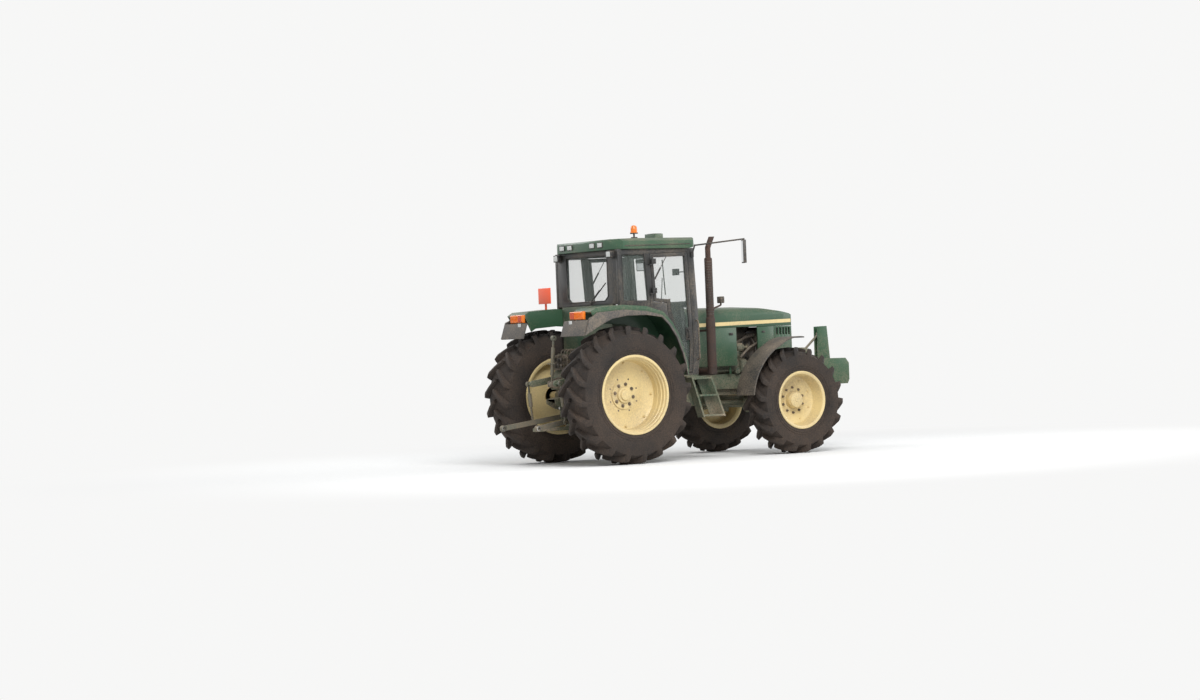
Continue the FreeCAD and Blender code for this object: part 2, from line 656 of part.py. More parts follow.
def fender_stay():
    """Steel stay from the knuckle, up inside the tyre and out under the fender."""
    x0 = WHEELBASE - 165
    x1 = WHEELBASE - 115
    z0 = FRONT_TYRE_R + 60
    z1 = FRONT_TYRE_R + 100
    top = 2 * FRONT_TYRE_R + 190
    under = arch_inside(FRONT_FENDER_T + SEAT_GAP, FENDER_STAY_Y, 990)
    post = box(x0, x1, FENDER_STAY_Y, FENDER_STAY_Y + 16, z0, top)
    foot = fuse([box(x0, x1, FENDER_STAY_Y, KINGPIN_Y + 12, z0, z1),
                 box(x1 - 5, WHEELBASE - 40, KINGPIN_Y - 18, KINGPIN_Y + 12, z0, z1)])
    lid = arch_inside(FRONT_FENDER_T + 16, FENDER_STAY_Y - 5, 1000)
    reach = box(x0, x1, FENDER_STAY_Y, 980, 2 * FRONT_TYRE_R, top).common(under).cut(lid)
    return fuse([post.common(under), foot, reach])


save_pair("front_fender", front_fender())
save_pair("knuckle", knuckle())
save("tie_rod", tie_rod())


# Frame: two rails, the front support with the hitch posts, and cross tubes under the engine
def frame_rails():
    parts = []
    for side in (-1, 1):
        inner = side * (RAIL_HALF - RAIL_T)
        outer = side * RAIL_HALF
        rail = side_prism([(GEARBOX_FRONT - 150, RAIL_BOTTOM + 20), (WHEELBASE - 500, RAIL_BOTTOM),
                           (RAIL_FRONT, RAIL_BOTTOM - 20), (RAIL_FRONT, RAIL_TOP),
                           (GEARBOX_FRONT - 150, RAIL_TOP)], min(inner, outer), max(inner, outer))
        parts.append(rail)
        px, pz = FRONT_PIVOT
        cheek = side_prism([(RAIL_FRONT - 230, RAIL_BOTTOM + 10), (RAIL_FRONT, RAIL_BOTTOM + 10),
                            (RAIL_FRONT + 10, pz - 50), (px - 55, pz - 50)],
                           min(side * 190, side * (RAIL_HALF - 5)), max(side * 190, side * (RAIL_HALF - 5)))
        parts.append(cheek)
    tie = RAIL_HALF - RAIL_T + 5
    pivot_top = FRONT_TYRE_R + DIFF_R + 2
    parts.append(box(GEARBOX_FRONT - 150, GEARBOX_FRONT - 20, -tie, tie, GEARBOX_TOP + SEAT_GAP, RAIL_TOP - 5))
    parts.append(box(WHEELBASE - 160, WHEELBASE - 110, -tie, tie, pivot_top + 45, RAIL_TOP - 20))
    parts.append(box(WHEELBASE + 130, WHEELBASE + 180, -tie, tie, pivot_top + 45, RAIL_TOP - 20))
    for x in (WHEELBASE - 160, WHEELBASE + 130):
        parts.append(box(x, x + 50, -70, 70, pivot_top - 20, pivot_top + 50))
    parts.append(box(RAIL_FRONT - 60, RAIL_FRONT, -tie, tie, FRONT_PIVOT[1] - 40, RAIL_TOP))
    # post for the front top link, with its two ears and pin, and the pivot of the front arms
    x, z = FRONT_TOP_PIN
    parts.append(box(RAIL_FRONT - 5, RAIL_FRONT + 70, -60, 60, 900, 1400))
    for side in (-1, 1):
        ear_y = sorted((side * 28, side * 48))
        parts.append(side_prism([(RAIL_FRONT + 60, 1180), (RAIL_FRONT + 60, 1400), (x - 10, z + 38),
                                 (x + 34, z + 20), (x + 34, z - 34), (x - 60, z - 50)], ear_y[0], ear_y[1]))
    parts.append(cross_pin(x, z, FRONT_PIN_R, -38, 38))
    parts.append(cross_pin(FRONT_PIVOT[0], FRONT_PIVOT[1], FRONT_PIN_R, -FRONT_ARM_Y - 24, FRONT_ARM_Y + 24))
    body = fuse(parts)
    return body.cut(flat_bar((WHEELBASE - 200, 0, pivot_top), (WHEELBASE + 220, 0, pivot_top), 40 + SEAT_GAP, 12))


save("frame_rails", frame_rails())


# Engine: block, head, sump, manifolds and filters, as they show through the open side
def engine():
    top = 1440.0
    block = end_prism([(-165, 800), (165, 800), (175, RAIL_BOTTOM + 100), (175, RAIL_TOP + 6),
                       (ENGINE_HALF, RAIL_TOP + 40), (ENGINE_HALF, 1240), (160, 1290), (-160, 1290),
                       (-ENGINE_HALF, 1240), (-ENGINE_HALF, RAIL_TOP + 40), (-175, RAIL_TOP + 6),
                       (-175, RAIL_BOTTOM + 100)], GEARBOX_FRONT + SEAT_GAP, ENGINE_FRONT)
    # way for the drive shaft through the sump
    block = block.cut(box(GEARBOX_FRONT - 10, WHEELBASE, -45, 45, 700, FRONT_TYRE_R + 107))
    first = GEARBOX_FRONT + 160
    last = ENGINE_FRONT - 170
    head = box(first - 80, ENGINE_FRONT - 50, -150, 150, 1285, top)
    cover = box(first - 40, ENGINE_FRONT - 90, -95, 95, top - 5, top + 60)
    pulley = flat_bar((ENGINE_FRONT - 5, 0, 1080), (ENGINE_FRONT + 45, 0, 1080), 95, 12)
    fan = flat_bar((ENGINE_FRONT - 5, 0, 1330), (ENGINE_FRONT + 70, 0, 1330), 60, 12)
    parts = [block, head, cover, pulley, fan]
    for k in range(CYLINDER_COUNT):
        x = first + (last - first) * k / (CYLINDER_COUNT - 1)
        parts.append(box(x - 22, x + 22, -215, -140, 1330, 1370))
        parts.append(box(x - 20, x + 20, 140, 205, 1342, 1378))
    for x in (first - 60, ENGINE_FRONT - 90):
        for side in (-1, 1):
            mount_y = sorted((side * 205, side * 238))
            parts.append(box(x, x + 80, mount_y[0], mount_y[1], RAIL_TOP + SEAT_GAP, 1160))
    parts.append(box(first - 30, ENGINE_FRONT - 130, -250, -180, 1315, 1385))
    parts.append(box(first - 30, ENGINE_FRONT - 130, 172, 238, 1328, 1392))
    parts.append(boss(ENGINE_FRONT - 200, 1120, 40, -ENGINE_HALF - 45, -ENGINE_HALF + 5))
    # columns: side, place behind the block's front, middle height of the filter
    for side, back, z in ((-1, 100, 1180), (1, 100, 1200), (1, 220, 1200)):
        foot = (ENGINE_FRONT - back, side * (ENGINE_HALF + 20), z - 80)
        parts.append(flat_bar(foot, (foot[0], foot[1], z + 90), 45, 12))
    return fuse(parts)


save("engine_block", engine())


# Radiator standing behind the nose
save("radiator", box(RADIATOR_REAR, RADIATOR_REAR + 160, -300, 300, RAIL_TOP + SEAT_GAP, 1660))


# Hood, side panels and nose, cut from one shell
def hood_form(inset, low):
    """Solid form of the hood and nose, moved in by inset."""
    half = HOOD_HALF - inset
    top = HOOD_TOP - inset
    front = NOSE_FRONT - inset
    corner = NOSE_CORNER - inset
    rear = HOOD_REAR - inset
    z0 = low
    side = side_prism([(rear, z0), (rear, top), (NOSE_FRONT - 970, top - 4), (NOSE_FRONT - 600, top - 29),
                       (NOSE_FRONT - 300, top - 76), (NOSE_FRONT - 130, top - 112), (front - 45, top - 158),
                       (front, top - 235), (front - 45, z0)], -500, 500)
    shoulder = [(half, z0), (half, top - 160), (half - 18, top - 82), (half - 52, top - 42), (half - 110, top - 22),
                (150, top - 4)]
    end = end_prism(shoulder + [(-y, z) for y, z in shoulder[::-1]], rear - 100, front + 100)
    flank = [(rear, half), (NOSE_FRONT - 520, half), (NOSE_FRONT - 260, half - 8), (corner, half - 34),
             (front - 42, 220), (front - 8, 90)]
    plan = plan_prism(flank + [(x, -y) for x, y in flank[::-1]], z0, z0 + 1000)
    return side.common(end).common(plan)


HOOD_SHELL = hood_form(0.0, PANEL_BOTTOM).cut(hood_form(SHEET, PANEL_BOTTOM - 1))
# the pin is right above the hood's rear edge, so that no part of the hood dips as it opens
HOOD_HINGE = (HOOD_REAR + 2.0, HOOD_TOP - 62.0)


def hood():
    shell = HOOD_SHELL.common(box(HOOD_REAR - 80, NOSE_FRONT + 180, -600, 600, HOOD_SPLIT, 2100))
    hx, hz = HOOD_HINGE
    ears = []
    for side in (-1, 1):
        y = sorted((side * 120, side * 150))
        ears.append(side_prism([(hx - 16, hz - 16), (hx + 16, hz - 16), (hx + 60, hz + 30), (hx + 60, HOOD_TOP - SHEET + 6),
                                (hx + 2, HOOD_TOP - SHEET + 6), (hx - 16, hz + 12)], y[0], y[1]))
    return fuse([shell] + ears).cut(cross_pin(hx, hz, 10 + PIN_GAP, -200, 200))


def side_panels():
    """Rear and front panels of both sides, below the hood."""
    panels = []
    foot = RAIL_TOP + SEAT_GAP
    rear_end = WHEELBASE - 470
    front_start = WHEELBASE - 120
    rear_stays = ((HOOD_REAR + 70, HOOD_REAR + 100), (rear_end - 100, rear_end - 70))
    front_stays = ((front_start + 15, front_start + 70),)
    # columns: rear end, front end, lower edge, and the brackets' places along the machine
    for x0, x1, z0, stays in ((HOOD_REAR + 20, rear_end, PANEL_BOTTOM, rear_stays),
                              (front_start, NOSE_REAR - 4, 1340, front_stays)):
        cut = HOOD_SHELL.common(box(x0, x1, 200, 600, z0, HOOD_SPLIT - 4))
        outline = [(205, foot), (315, foot), (315, z0), (350, z0), (350, z0 + 10), (305, z0 + 10),
                   (305, foot + 10), (205, foot + 10)]
        panel = fuse([cut] + [end_prism(outline, a, b) for a, b in stays])
        panels += [panel, mirrored(panel)]
    return Part.makeCompound(panels)


def nose_grille():
    nose = HOOD_SHELL.common(box(NOSE_REAR, NOSE_FRONT + 180, -600, 600, PANEL_BOTTOM, HOOD_SPLIT - 4))
    # side louvres: upright slots; front: long flat slots
    for k in range(5):
        x = NOSE_REAR + 34 + k * 54
        nose = nose.cut(box(x, x + 32, -600, -200, 1585, GRILLE_TOP))
        nose = nose.cut(box(x, x + 32, 200, 600, 1585, GRILLE_TOP))
    for k in range(5):
        z = 1250 + k * 82
        nose = nose.cut(box(NOSE_CORNER - 25, NOSE_FRONT + 180, -290, 290, z, z + 50))
    foot = hood_form(SHEET - 4, PANEL_BOTTOM - 20)
    foot = foot.common(box(NOSE_REAR + 20, NOSE_CORNER - 35, -400, 400, PANEL_BOTTOM - 20, PANEL_BOTTOM + 8))
    post_left = box(NOSE_CORNER - 125, NOSE_CORNER - 65, 203, 237, RAIL_TOP + SEAT_GAP, PANEL_BOTTOM - 15)
    return fuse([nose, foot, post_left, mirrored(post_left)])


save("hood", hood())
save("side_panels", side_panels())
save("nose_grille", nose_grille())


# Exhaust: elbow from the engine, heat shield, perforated guard and the bent tip
EXHAUST_LAMP = (EXHAUST[0] + 227.0, EXHAUST[1] + 70.0, 2030.0)


def exhaust():
    x, y = EXHAUST
    elbow_z = 1130.0
    low = flat_bar((x, y, 1085), (x, y, 1845), 62, 16)
    guard = flat_bar((x, y, 1840), (x, y, 2630), 52, 16)
    pipe = flat_bar((x, y, 2620), (x, y, 2785), 36, 12)
    elbow = flat_bar((x, y + 20, elbow_z), (x, -ENGINE_HALF - SEAT_GAP, elbow_z), 42)
    bend = V(0.42, 0, 0.907)
    start = V(x, y, 2770)
    tip = flat_bar(start, start + bend * 210, 36, 12)
    tip = tip.cut(box(x - 100, x + 400, y - 100, y + 100, 2910, 3200))
    tip = tip.cut(flat_bar(start + bend * 60, start + bend * 400, 31, 12))
    stay = box(x - 12, x + 12, y, -HOOD_HALF - SEAT_GAP, 1660, 1690)
    # stalk of the small lamp beside the hood
    lamp_x, lamp_y, lamp_z = EXHAUST_LAMP
    stalk = flat_bar((x + 15, y + 15, 1945), (lamp_x, lamp_y, lamp_z - 24), 12)
    post = flat_bar((lamp_x, lamp_y, lamp_z - 34), (lamp_x, lamp_y, lamp_z - SEAT_GAP), 14)
    return fuse([low, guard, pipe, elbow, tip, stay, stalk, post])


save("exhaust_stack", exhaust())


# Rear fenders. One line over the tyre serves the fender, the flare and the cab's lower edge
FENDER_LINE = [(-545.0, 1965.0), (-470.0, 2010.0), (-60.0, 2038.0), (300.0, 2012.0), (560.0, 1935.0),
               (700.0, 1790.0), (800.0, 1620.0), (880.0, 1400.0), (918.0, 1253.0), (925.0, FENDER_END)]
FLARE_LINE = [(-650.0, 1662.0), (-400.0, 1792.0), (-240.0, 1862.0), (-5.0, 1897.0), (300.0, 1897.0),
              (528.0, 1865.0), (640.0, 1755.0), (745.0, 1600.0), (828.0, 1400.0), (870.0, 1253.0),
              (892.0, FENDER_END)]
# depth of the fender's outer skirt at each point of its line
SKIRT = [62.0, 62.0, 62.0, 62.0, 50.0, 35.0, 26.0, 24.0, 24.0, 24.0]


def inset_line(line, depth):
    """The same open line moved towards the inside of the arch."""
    return inset_each(line, [depth] * len(line))


def inset_each(line, depths):
    """The same open line with each point moved towards the inside by its own depth."""
    moved = []
    for i, ((x, z), depth) in enumerate(zip(line, depths)):
        a = line[max(i - 1, 0)]
        b = line[min(i + 1, len(line) - 1)]
        dx = b[0] - a[0]
        dz = b[1] - a[1]
        size = math.hypot(dx, dz)
        moved.append((x + dz / size * depth, z - dx / size * depth))
    return moved


def rear_fender():
    inner = inset_line(FENDER_LINE, FENDER_T)
    skin = side_prism(FENDER_LINE + inner[::-1], CAB_LOW_HALF, FENDER_OUT)
    skirt = side_prism(FENDER_LINE + inset_each(FENDER_LINE, SKIRT)[::-1], FENDER_OUT - FENDER_T, FENDER_OUT)
    wall_low = [(x * 0.80, 885.0 + (z - 885.0) * 0.80) for x, z in FENDER_LINE]
    wall_low[-1] = (wall_low[-1][0], FENDER_END)
    wall = side_prism(FENDER_LINE + wall_low[::-1], CAB_LOW_HALF, CAB_LOW_HALF + 22)
    return fuse([skin, skirt, wall])


def fender_flare():
    """Rubber flare under the fender's edge, with the mud flap behind."""
    top = inset_each(FENDER_LINE, [depth + SEAT_GAP for depth in SKIRT])
    outline = [(-575.0, 1880.0), (-518.0, 1903.0)] + top[1:] + FLARE_LINE[::-1]
    inner = FENDER_OUT - 14
    band = side_prism(outline, inner, FENDER_OUT + 18)
    flap = side_prism([(-594.0, 1858.0), (-662.0, 1660.0), (-646.0, 1656.0), (-578.0, 1858.0)],
                      CAB_LOW_HALF - 140, inner - SEAT_GAP)
    return Part.makeCompound([band, flap])


save_pair("rear_fender", rear_fender())
save("fender_flares", both_sides(fender_flare()))


# Lamps on the fenders' rear ends, and the plain warning panel on the left
def rear_lamps():
    lamp = box(-585, -545.0 - SEAT_GAP, 575, 900, 1868, 1972)
    lamp = lamp.makeChamfer(10, [e for e in lamp.Edges if abs(e.BoundBox.XMin + 585) < 1 and e.BoundBox.XLength < 1])
    return lamp


save("rear_lamps", both_sides(rear_lamps()))


# Cab. Side, front and rear frames stand on the lower body and on the fenders
CAB_OUTLINE = [(CAB_REAR, 2000.0), (CAB_REAR, CAB_TOP), (1250.0, CAB_TOP), (1312.0, 1485.0), (1262.0, 1100.0),
               (CAB_REAR + 855.0, 1100.0)]
DOOR_LINE = [(558.0, 2700.0), (1158.0, 2715.0), (1210.0, 1485.0), (1175.0, 1128.0), (1062.0, 1128.0),
             (1000.0, 1400.0), (960.0, 1530.0), (885.0, 1700.0), (812.0, 1930.0), (806.0, 2050.0), (600.0, 2070.0)]
SIDE_WINDOW = [(130.0, 2690.0), (482.0, 2695.0), (524.0, 2085.0), (128.0, 2085.0)]


def inset_ring(ring_points, depth):
    """Closed clockwise outline moved inwards by depth, sharp corners kept."""
    count = len(ring_points)
    lines = []
    for i in range(count):
        a = ring_points[i]
        b = ring_points[(i + 1) % count]
        dx = b[0] - a[0]
        dz = b[1] - a[1]
        size = math.hypot(dx, dz)
        nx = dz / size * depth
        nz = -dx / size * depth
        lines.append(((a[0] + nx, a[1] + nz), (dx, dz)))
    moved = []
    for i in range(count):
        (p, d) = lines[i - 1]
        (q, e) = lines[i]
        cross = d[0] * e[1] - d[1] * e[0]
        t = ((q[0] - p[0]) * e[1] - (q[1] - p[1]) * e[0]) / cross
        moved.append((p[0] + d[0] * t, p[1] + d[1] * t))
    return moved


CAB_IN = CAB_HALF - CAB_WALL
REAR_FRAME_FOOT = 2052.0
# the axis stands off the wall so that the open door passes outside the rear tyre
DOOR_HINGE = (574.0, CAB_HALF + 40.0)
HINGE_Z = (2180.0, 2560.0)


def grown_fender(gap):
    """Everything under the fender's line, grown by a gap."""
    line = inset_line(FENDER_LINE, -gap)
    return line + [(line[-1][0], 900.0), (line[0][0] - gap, 900.0)]


def cab_side():
    frame = side_prism(CAB_OUTLINE, CAB_IN, CAB_HALF)
    frame = frame.cut(side_prism(grown_fender(SEAT_GAP), CAB_IN - 10, CAB_HALF + 10))
    frame = frame.cut(side_prism(DOOR_LINE, CAB_IN - 10, CAB_HALF + 10))
    frame = frame.cut(side_prism(SIDE_WINDOW, CAB_IN - 10, CAB_HALF + 10))
    # hinge pins of the door, each on a small bracket
    hx, hy = DOOR_HINGE
    parts = [frame]
    for z in HINGE_Z:
        parts.append(box(hx - 42, hx - 16, CAB_HALF - 5, hy + 10, z - 14, z - 0.5))
        parts.append(box(hx - 19, hx + 6, CAB_HALF + 8, hy + 10, z - 14, z - 0.5))
        parts.append(Part.makeCylinder(7, 90, V(hx, hy, z - 10)))
    return fuse(parts)


save_pair("cab_side_frame", cab_side())

WINDSHIELD = [(1250.0, CAB_TOP), (1312.0, 1485.0), (1262.0, 1100.0)]


def front_wall(inset_out, thickness):
    """Leaning plate along the front of the cab, as a side-view outline."""
    outer = [(x - inset_out, z) for x, z in WINDSHIELD]
    inner = [(x - inset_out - thickness, z) for x, z in WINDSHIELD]
    return outer + inner[::-1]


def cab_front():
    half = CAB_IN - SEAT_GAP
    wall = side_prism(front_wall(0, CAB_WALL), -half, half)
    wall = wall.cut(box(1000, 1500, -half + 45, half - 45, 2060, 2690))
    for side in (-1, 1):
        y = sorted((side * 430, side * (half - 45)))
        wall = wall.cut(box(1000, 1500, y[0], y[1], 1260, 1990))
    return wall


def cab_rear():
    half = CAB_IN - SEAT_GAP
    outline = [(-half, REAR_FRAME_FOOT), (half, REAR_FRAME_FOOT), (half, CAB_TOP), (-half, CAB_TOP)]
    window = [(-500, 2160), (-420, 2100), (420, 2100), (500, 2160), (500, 2700), (-500, 2700)]
    wall = end_prism(outline, CAB_REAR, CAB_REAR + CAB_WALL)
    return wall.cut(end_prism(window, CAB_REAR - 10, CAB_REAR + CAB_WALL + 10))


def cab_glass():
    half = CAB_IN - SEAT_GAP
    shield = side_prism(front_wall(21, GLASS_T), -half + 45.3, half - 45.3)
    shield = shield.common(box(1000, 1500, -half, half, 2060.3, 2689.7))
    rear = end_prism([(-499.7, 2160.2), (-419.8, 2100.3), (419.8, 2100.3), (499.7, 2160.2), (499.7, 2699.7),
                      (-499.7, 2699.7)], CAB_REAR + 21, CAB_REAR + 21 + GLASS_T)
    pane = side_prism(inset_ring(SIDE_WINDOW, SEAT_GAP), CAB_HALF - 29, CAB_HALF - 21)
    panes = [shield, rear, pane, mirrored(pane)]
    for side in (-1, 1):
        y = sorted((side * 430.3, side * (half - 45.3)))
        low = side_prism(front_wall(21, GLASS_T), y[0], y[1]).common(box(1000, 1500, y[0], y[1], 1260.3, 1989.7))
        panes.append(low)
    return Part.makeCompound(panes)


save("cab_front_frame", cab_front())
save("cab_rear_frame", cab_rear())
save("cab_glass", cab_glass())


def cab_body():
    """Floor, rear wall, and the low side walls that the fenders are bolted to."""
    low = CAB_LOW_HALF - SEAT_GAP
    top = REAR_FRAME_FOOT - SEAT_GAP
    floor = plan_prism([(95, -low), (955, -low), (955, -CAB_HALF), (1262, -CAB_HALF), (1262, CAB_HALF),
                        (955, CAB_HALF), (955, low), (95, low)], CAB_FLOOR, CAB_FLOOR + 20 - SEAT_GAP)
    deck = box(95, 1212 - SEAT_GAP, -low, low, CAB_FLOOR, CAB_FLOOR + FLOOR_T)
    rear = box(50, 95, -low, low, CAB_FLOOR, top)
    shelf = box(50, CAB_REAR + CAB_WALL, -low, low, 2010, top)
    parts = [floor, deck, rear, shelf]
    for side in (-1, 1):
        y = sorted((side * (low - 24), side * low))
        wall = side_prism(grown_fender(-2.0), y[0], y[1]).common(box(60, 955, -700, 700, CAB_FLOOR, 2100))
        parts.append(wall)
        ledge_y = sorted((side * (low - 24), side * CAB_IN))
        sill = side_prism(inset_line(FENDER_LINE, -SEAT_GAP) + inset_line(FENDER_LINE, -18.0)[::-1],
                          ledge_y[0], ledge_y[1])
        parts.append(sill.common(box(CAB_REAR + CAB_WALL + 1, 930, -800, 800, CAB_FLOOR + 19, 2100)))
    return fuse(parts)


save("cab_body", cab_body())


def cab_roof():
    plan = [(ROOF_REAR, -575), (130, -ROOF_HALF), (ROOF_FRONT - 90, -ROOF_HALF), (ROOF_FRONT, -ROOF_HALF + 110),
            (ROOF_FRONT, ROOF_HALF - 110), (ROOF_FRONT - 90, ROOF_HALF), (130, ROOF_HALF), (ROOF_REAR, 575)]
    side_edges = [
        Part.LineSegment(V(ROOF_REAR, -900, CAB_TOP + SEAT_GAP), V(ROOF_REAR, -900, 2862)).toShape(),
        Part.Arc(V(ROOF_REAR, -900, 2862), V(ROOF_REAR + 14, -900, 2885), V(ROOF_REAR + 50, -900, 2892)).toShape(),
        Part.LineSegment(V(ROOF_REAR + 50, -900, 2892), V(1130, -900, 2924)).toShape(),
        Part.Arc(V(1130, -900, 2924), V(1258, -900, 2892), V(ROOF_FRONT, -900, 2812)).toShape(),
        Part.LineSegment(V(ROOF_FRONT, -900, 2812), V(ROOF_FRONT - 10, -900, 2790)).toShape(),
        Part.LineSegment(V(ROOF_FRONT - 10, -900, 2790), V(1180, -900, CAB_TOP + SEAT_GAP)).toShape(),
        Part.LineSegment(V(1180, -900, CAB_TOP + SEAT_GAP), V(ROOF_REAR, -900, CAB_TOP + SEAT_GAP)).toShape(),
    ]
    side = Part.Face(Part.Wire(side_edges)).extrude(V(0, 1800, 0))
    roof = side.common(plan_prism(plan, 2700, 3000))
    crown = end_prism([(-ROOF_HALF, 2700), (ROOF_HALF, 2700), (ROOF_HALF, 2862), (ROOF_HALF - 60, 2900),
                       (0, 2926), (-ROOF_HALF + 60, 2900), (-ROOF_HALF, 2862)], -50, 1400)
    vent = plan_prism([(1090, -120), (1240, -90), (1240, 90), (1090, 120)], 2860, 2985)
    return fuse([roof.common(crown), vent])


save("cab_roof", cab_roof())


# Doors: hinged on the thin post behind them, frame and pane
def door():
    outline = inset_ring(DOOR_LINE, DOOR_GAP)
    frame = side_prism(outline, CAB_IN + 4, CAB_HALF)
    opening = inset_ring(outline, 44.0)
    frame = frame.cut(side_prism(opening, CAB_IN - 10, CAB_HALF + 10))
    hx, hy = DOOR_HINGE
    knuckles = []
    for z in HINGE_Z:
        knuckles.append(flat_bar((hx, hy, z), (hx, hy, z + 70), HINGE_R))
        knuckles.append(box(hx, hx + 60, hy - HINGE_R, hy, z, z + 70))
        knuckles.append(box(hx + 34, hx + 60, CAB_HALF - 10, hy, z, z + 70))
    body = fuse([frame] + knuckles)
    body = body.cut(Part.makeCylinder(7 + PIN_GAP, 800, V(hx, hy, 2000)))
    pane = side_prism(inset_ring(opening, SEAT_GAP), CAB_HALF - 29, CAB_HALF - 21)
    return body, pane


door_frame, door_pane = door()
save_pair("door_frame", door_frame)
save_pair("door_glass", door_pane)


def cowl():
    """Cowl between the cab and the engine, with the hood's hinge tube on its top edge."""
    hx, hz = HOOD_HINGE
    half = 320.0
    wall = box(1318, 1358, -half, half, 1130, hz - 20)
    arms = []
    for side in (-1, 1):
        y = sorted((side * 160, side * 185))
        arms.append(box(1318, hx + 18, y[0], y[1], hz - 40, hz + 12))
    pin = cross_pin(hx, hz, 10, -185, 185)
    foot = box(1318, 1358, -RAIL_HALF, RAIL_HALF, RAIL_TOP + SEAT_GAP, 1140)
    return fuse([wall, pin, foot] + arms)


save("cowl", cowl())


# Seat and controls
def seat():
    base = box(330, 700, -160, 160, CAB_FLOOR + FLOOR_T + SEAT_GAP, 1300)
    stem = box(380, 650, -110, 110, 1295, 1480)
    cushion = side_prism([(330, 1450), (780, 1462), (800, 1530), (760, 1570), (330, 1545)], -245, 245)
    back = side_prism([(330, 1470), (390, 1500), (300, 2080), (255, 2120), (195, 2110), (180, 2060), (250, 1500)],
                      -235, 235)
    arms = []
    for side in (-1, 1):
        y = sorted((side * 250, side * 310))
        arms.append(box(300, 640, y[0], y[1], 1700, 1750))
        arms.append(box(300, 345, y[0], y[1], 1500, 1705))
        web = sorted((side * 225, side * 290))
        arms.append(box(270, 340, web[0], web[1], 1500, 1560))
    return fuse([base, stem, cushion, back] + arms)


save("seat", seat())


def controls():
    """Steering column with its wheel, dash pod, side console and pedals."""
    floor = CAB_FLOOR + FLOOR_T + SEAT_GAP
    column = side_prism([(1060, floor), (1160, floor), (1120, 1780), (1040, 1830), (1000, 1780)], -90, 90)
    pod = side_prism([(1000, 1760), (1170, 1730), (1180, 1860), (1060, 1900)], -190, 190)
    tilt = V(-0.5, 0, 0.866)
    start = V(1040, 0, 1840)
    centre = start + tilt * 150
    shaft = flat_bar(start, centre, 20)
    wheel = ring([(-14, 190), (0, 204), (14, 190), (0, 176)], 18)
    # stands the wheel's own axle, +Y, along the column
    wheel.rotate(V(0, 0, 0), V(1, 0, 0), 90)
    wheel.rotate(V(0, 0, 0), V(0, 1, 0), -30)
    wheel.translate(centre)
    spokes = []
    cross = V(0, 1, 0)
    down = tilt.cross(cross)
    for k in range(3):
        a = math.radians(90 + 120 * k)
        end = centre + cross * (190 * math.cos(a)) + down * (190 * math.sin(a))
        spokes.append(flat_bar(centre, end, 12, 4))
    console = side_prism([(380, floor), (900, floor), (940, 1560), (860, 1640), (420, 1660)], -560, -370)
    levers = [flat_bar((560 + 90 * k, -465, 1640), (590 + 90 * k, -465, 1760), 11) for k in range(3)]
    return Part.makeCompound([fuse([column, pod, shaft, wheel] + spokes), fuse([console] + levers)])


save("controls", controls())


# Fuel tank on the left, tool box on the right, both under the cab floor
def fuel_tank():
    tank = box(965, 1720, 300, 700, 640, CAB_FLOOR - 60)
    long_edges = [e for e in tank.Edges if e.BoundBox.XLength > 700]
    tank = tank.makeChamfer(50, long_edges)
    cap = flat_bar((1650, 560, CAB_FLOOR - 70), (1650, 560, CAB_FLOOR - 30), 45, 12)
    parts = [tank, cap]
    parts += [box(x, x + 40, RAIL_HALF + SEAT_GAP if x > 1249 else GEARBOX_HALF + SEAT_GAP, 310, 930, 1000)
              for x in (1010, 1600)]
    return fuse(parts)


def tool_box():
    body = box(965, 1500, -700, -300, 700, CAB_FLOOR - 60)
    lid = box(955, 1510, -712, -300, 980, CAB_FLOOR - 50)
    brackets = [box(x, x + 40, -310, -(RAIL_HALF + SEAT_GAP if x > 1249 else GEARBOX_HALF + SEAT_GAP), 930, 1000)
                for x in (1010, 1440)]
    return fuse([body, lid] + brackets)


save("fuel_tank", fuel_tank())
save("tool_box", tool_box())


# Ladders: three treads between raked stringers, hung from the platform by the door
# columns: height of the tread, its rear end, its front end
TREADS = [(1065.0, 1060.0, 1360.0), (840.0, 1160.0, 1470.0), (575.0, 1230.0, 1560.0)]
LADDER_Y = (CAB_HALF + 10.0, CAB_HALF + 145.0)


def ladder():
    y0, y1 = LADDER_Y
    parts = []
    for z, x0, x1 in TREADS:
        parts.append(box(x0, x1, y0, y1, z - 24, z))
    top = TREADS[0]
    low = TREADS[2]
    z_top = top[0] + 4
    z_low = low[0] - 34
    for end in (1, 2):
        stringer = [(top[end] - 13, z_top), (top[end] + 13, z_top), (low[end] + 13, z_low), (low[end] - 13, z_low)]
        parts.append(side_prism(stringer, y0, y1))
    sheet = [(top[2] - 150, top[0]), (top[2], top[0]), (low[2], low[0] - 24), (low[2] - 150, low[0] - 24)]
    parts.append(side_prism(sheet, y0, y0 + 8))
    parts.append(box(top[1], top[2], CAB_IN - 120, y0 + 10, CAB_FLOOR - SEAT_GAP - 24, CAB_FLOOR - SEAT_GAP))
    return fuse(parts)


save("ladders", both_sides(ladder()))


# Mirrors on long arms from the tops of the front posts
def mirror_side():
    elbow = (1225.0, CAB_HALF + 80, 2790.0)
    tip = (1766.0, 1190.0, 2850.0)
    plate = box(1205, 1245, CAB_HALF + SEAT_GAP, CAB_HALF + 24, 2640, 2710)
    arm = flat_bar((1225, CAB_HALF + 12, 2672), (elbow[0], elbow[1] + 4, elbow[2] + 8), 11)
    reach = flat_bar(elbow, (tip[0] + 8, tip[1] + 6, tip[2]), 11)
    drop = flat_bar((tip[0], tip[1], tip[2] + 8), (tip[0], tip[1], 2700), 10)
    head = box(-20, 20, -95, 95, -150, 150)
    head.rotate(V(0, 0, 0), V(0, 0, 1), 28)
    head.translate(V(tip[0] - 6, tip[1], 2685))
    return fuse([plate, arm, reach, drop, head])


save("mirrors", both_sides(mirror_side()))


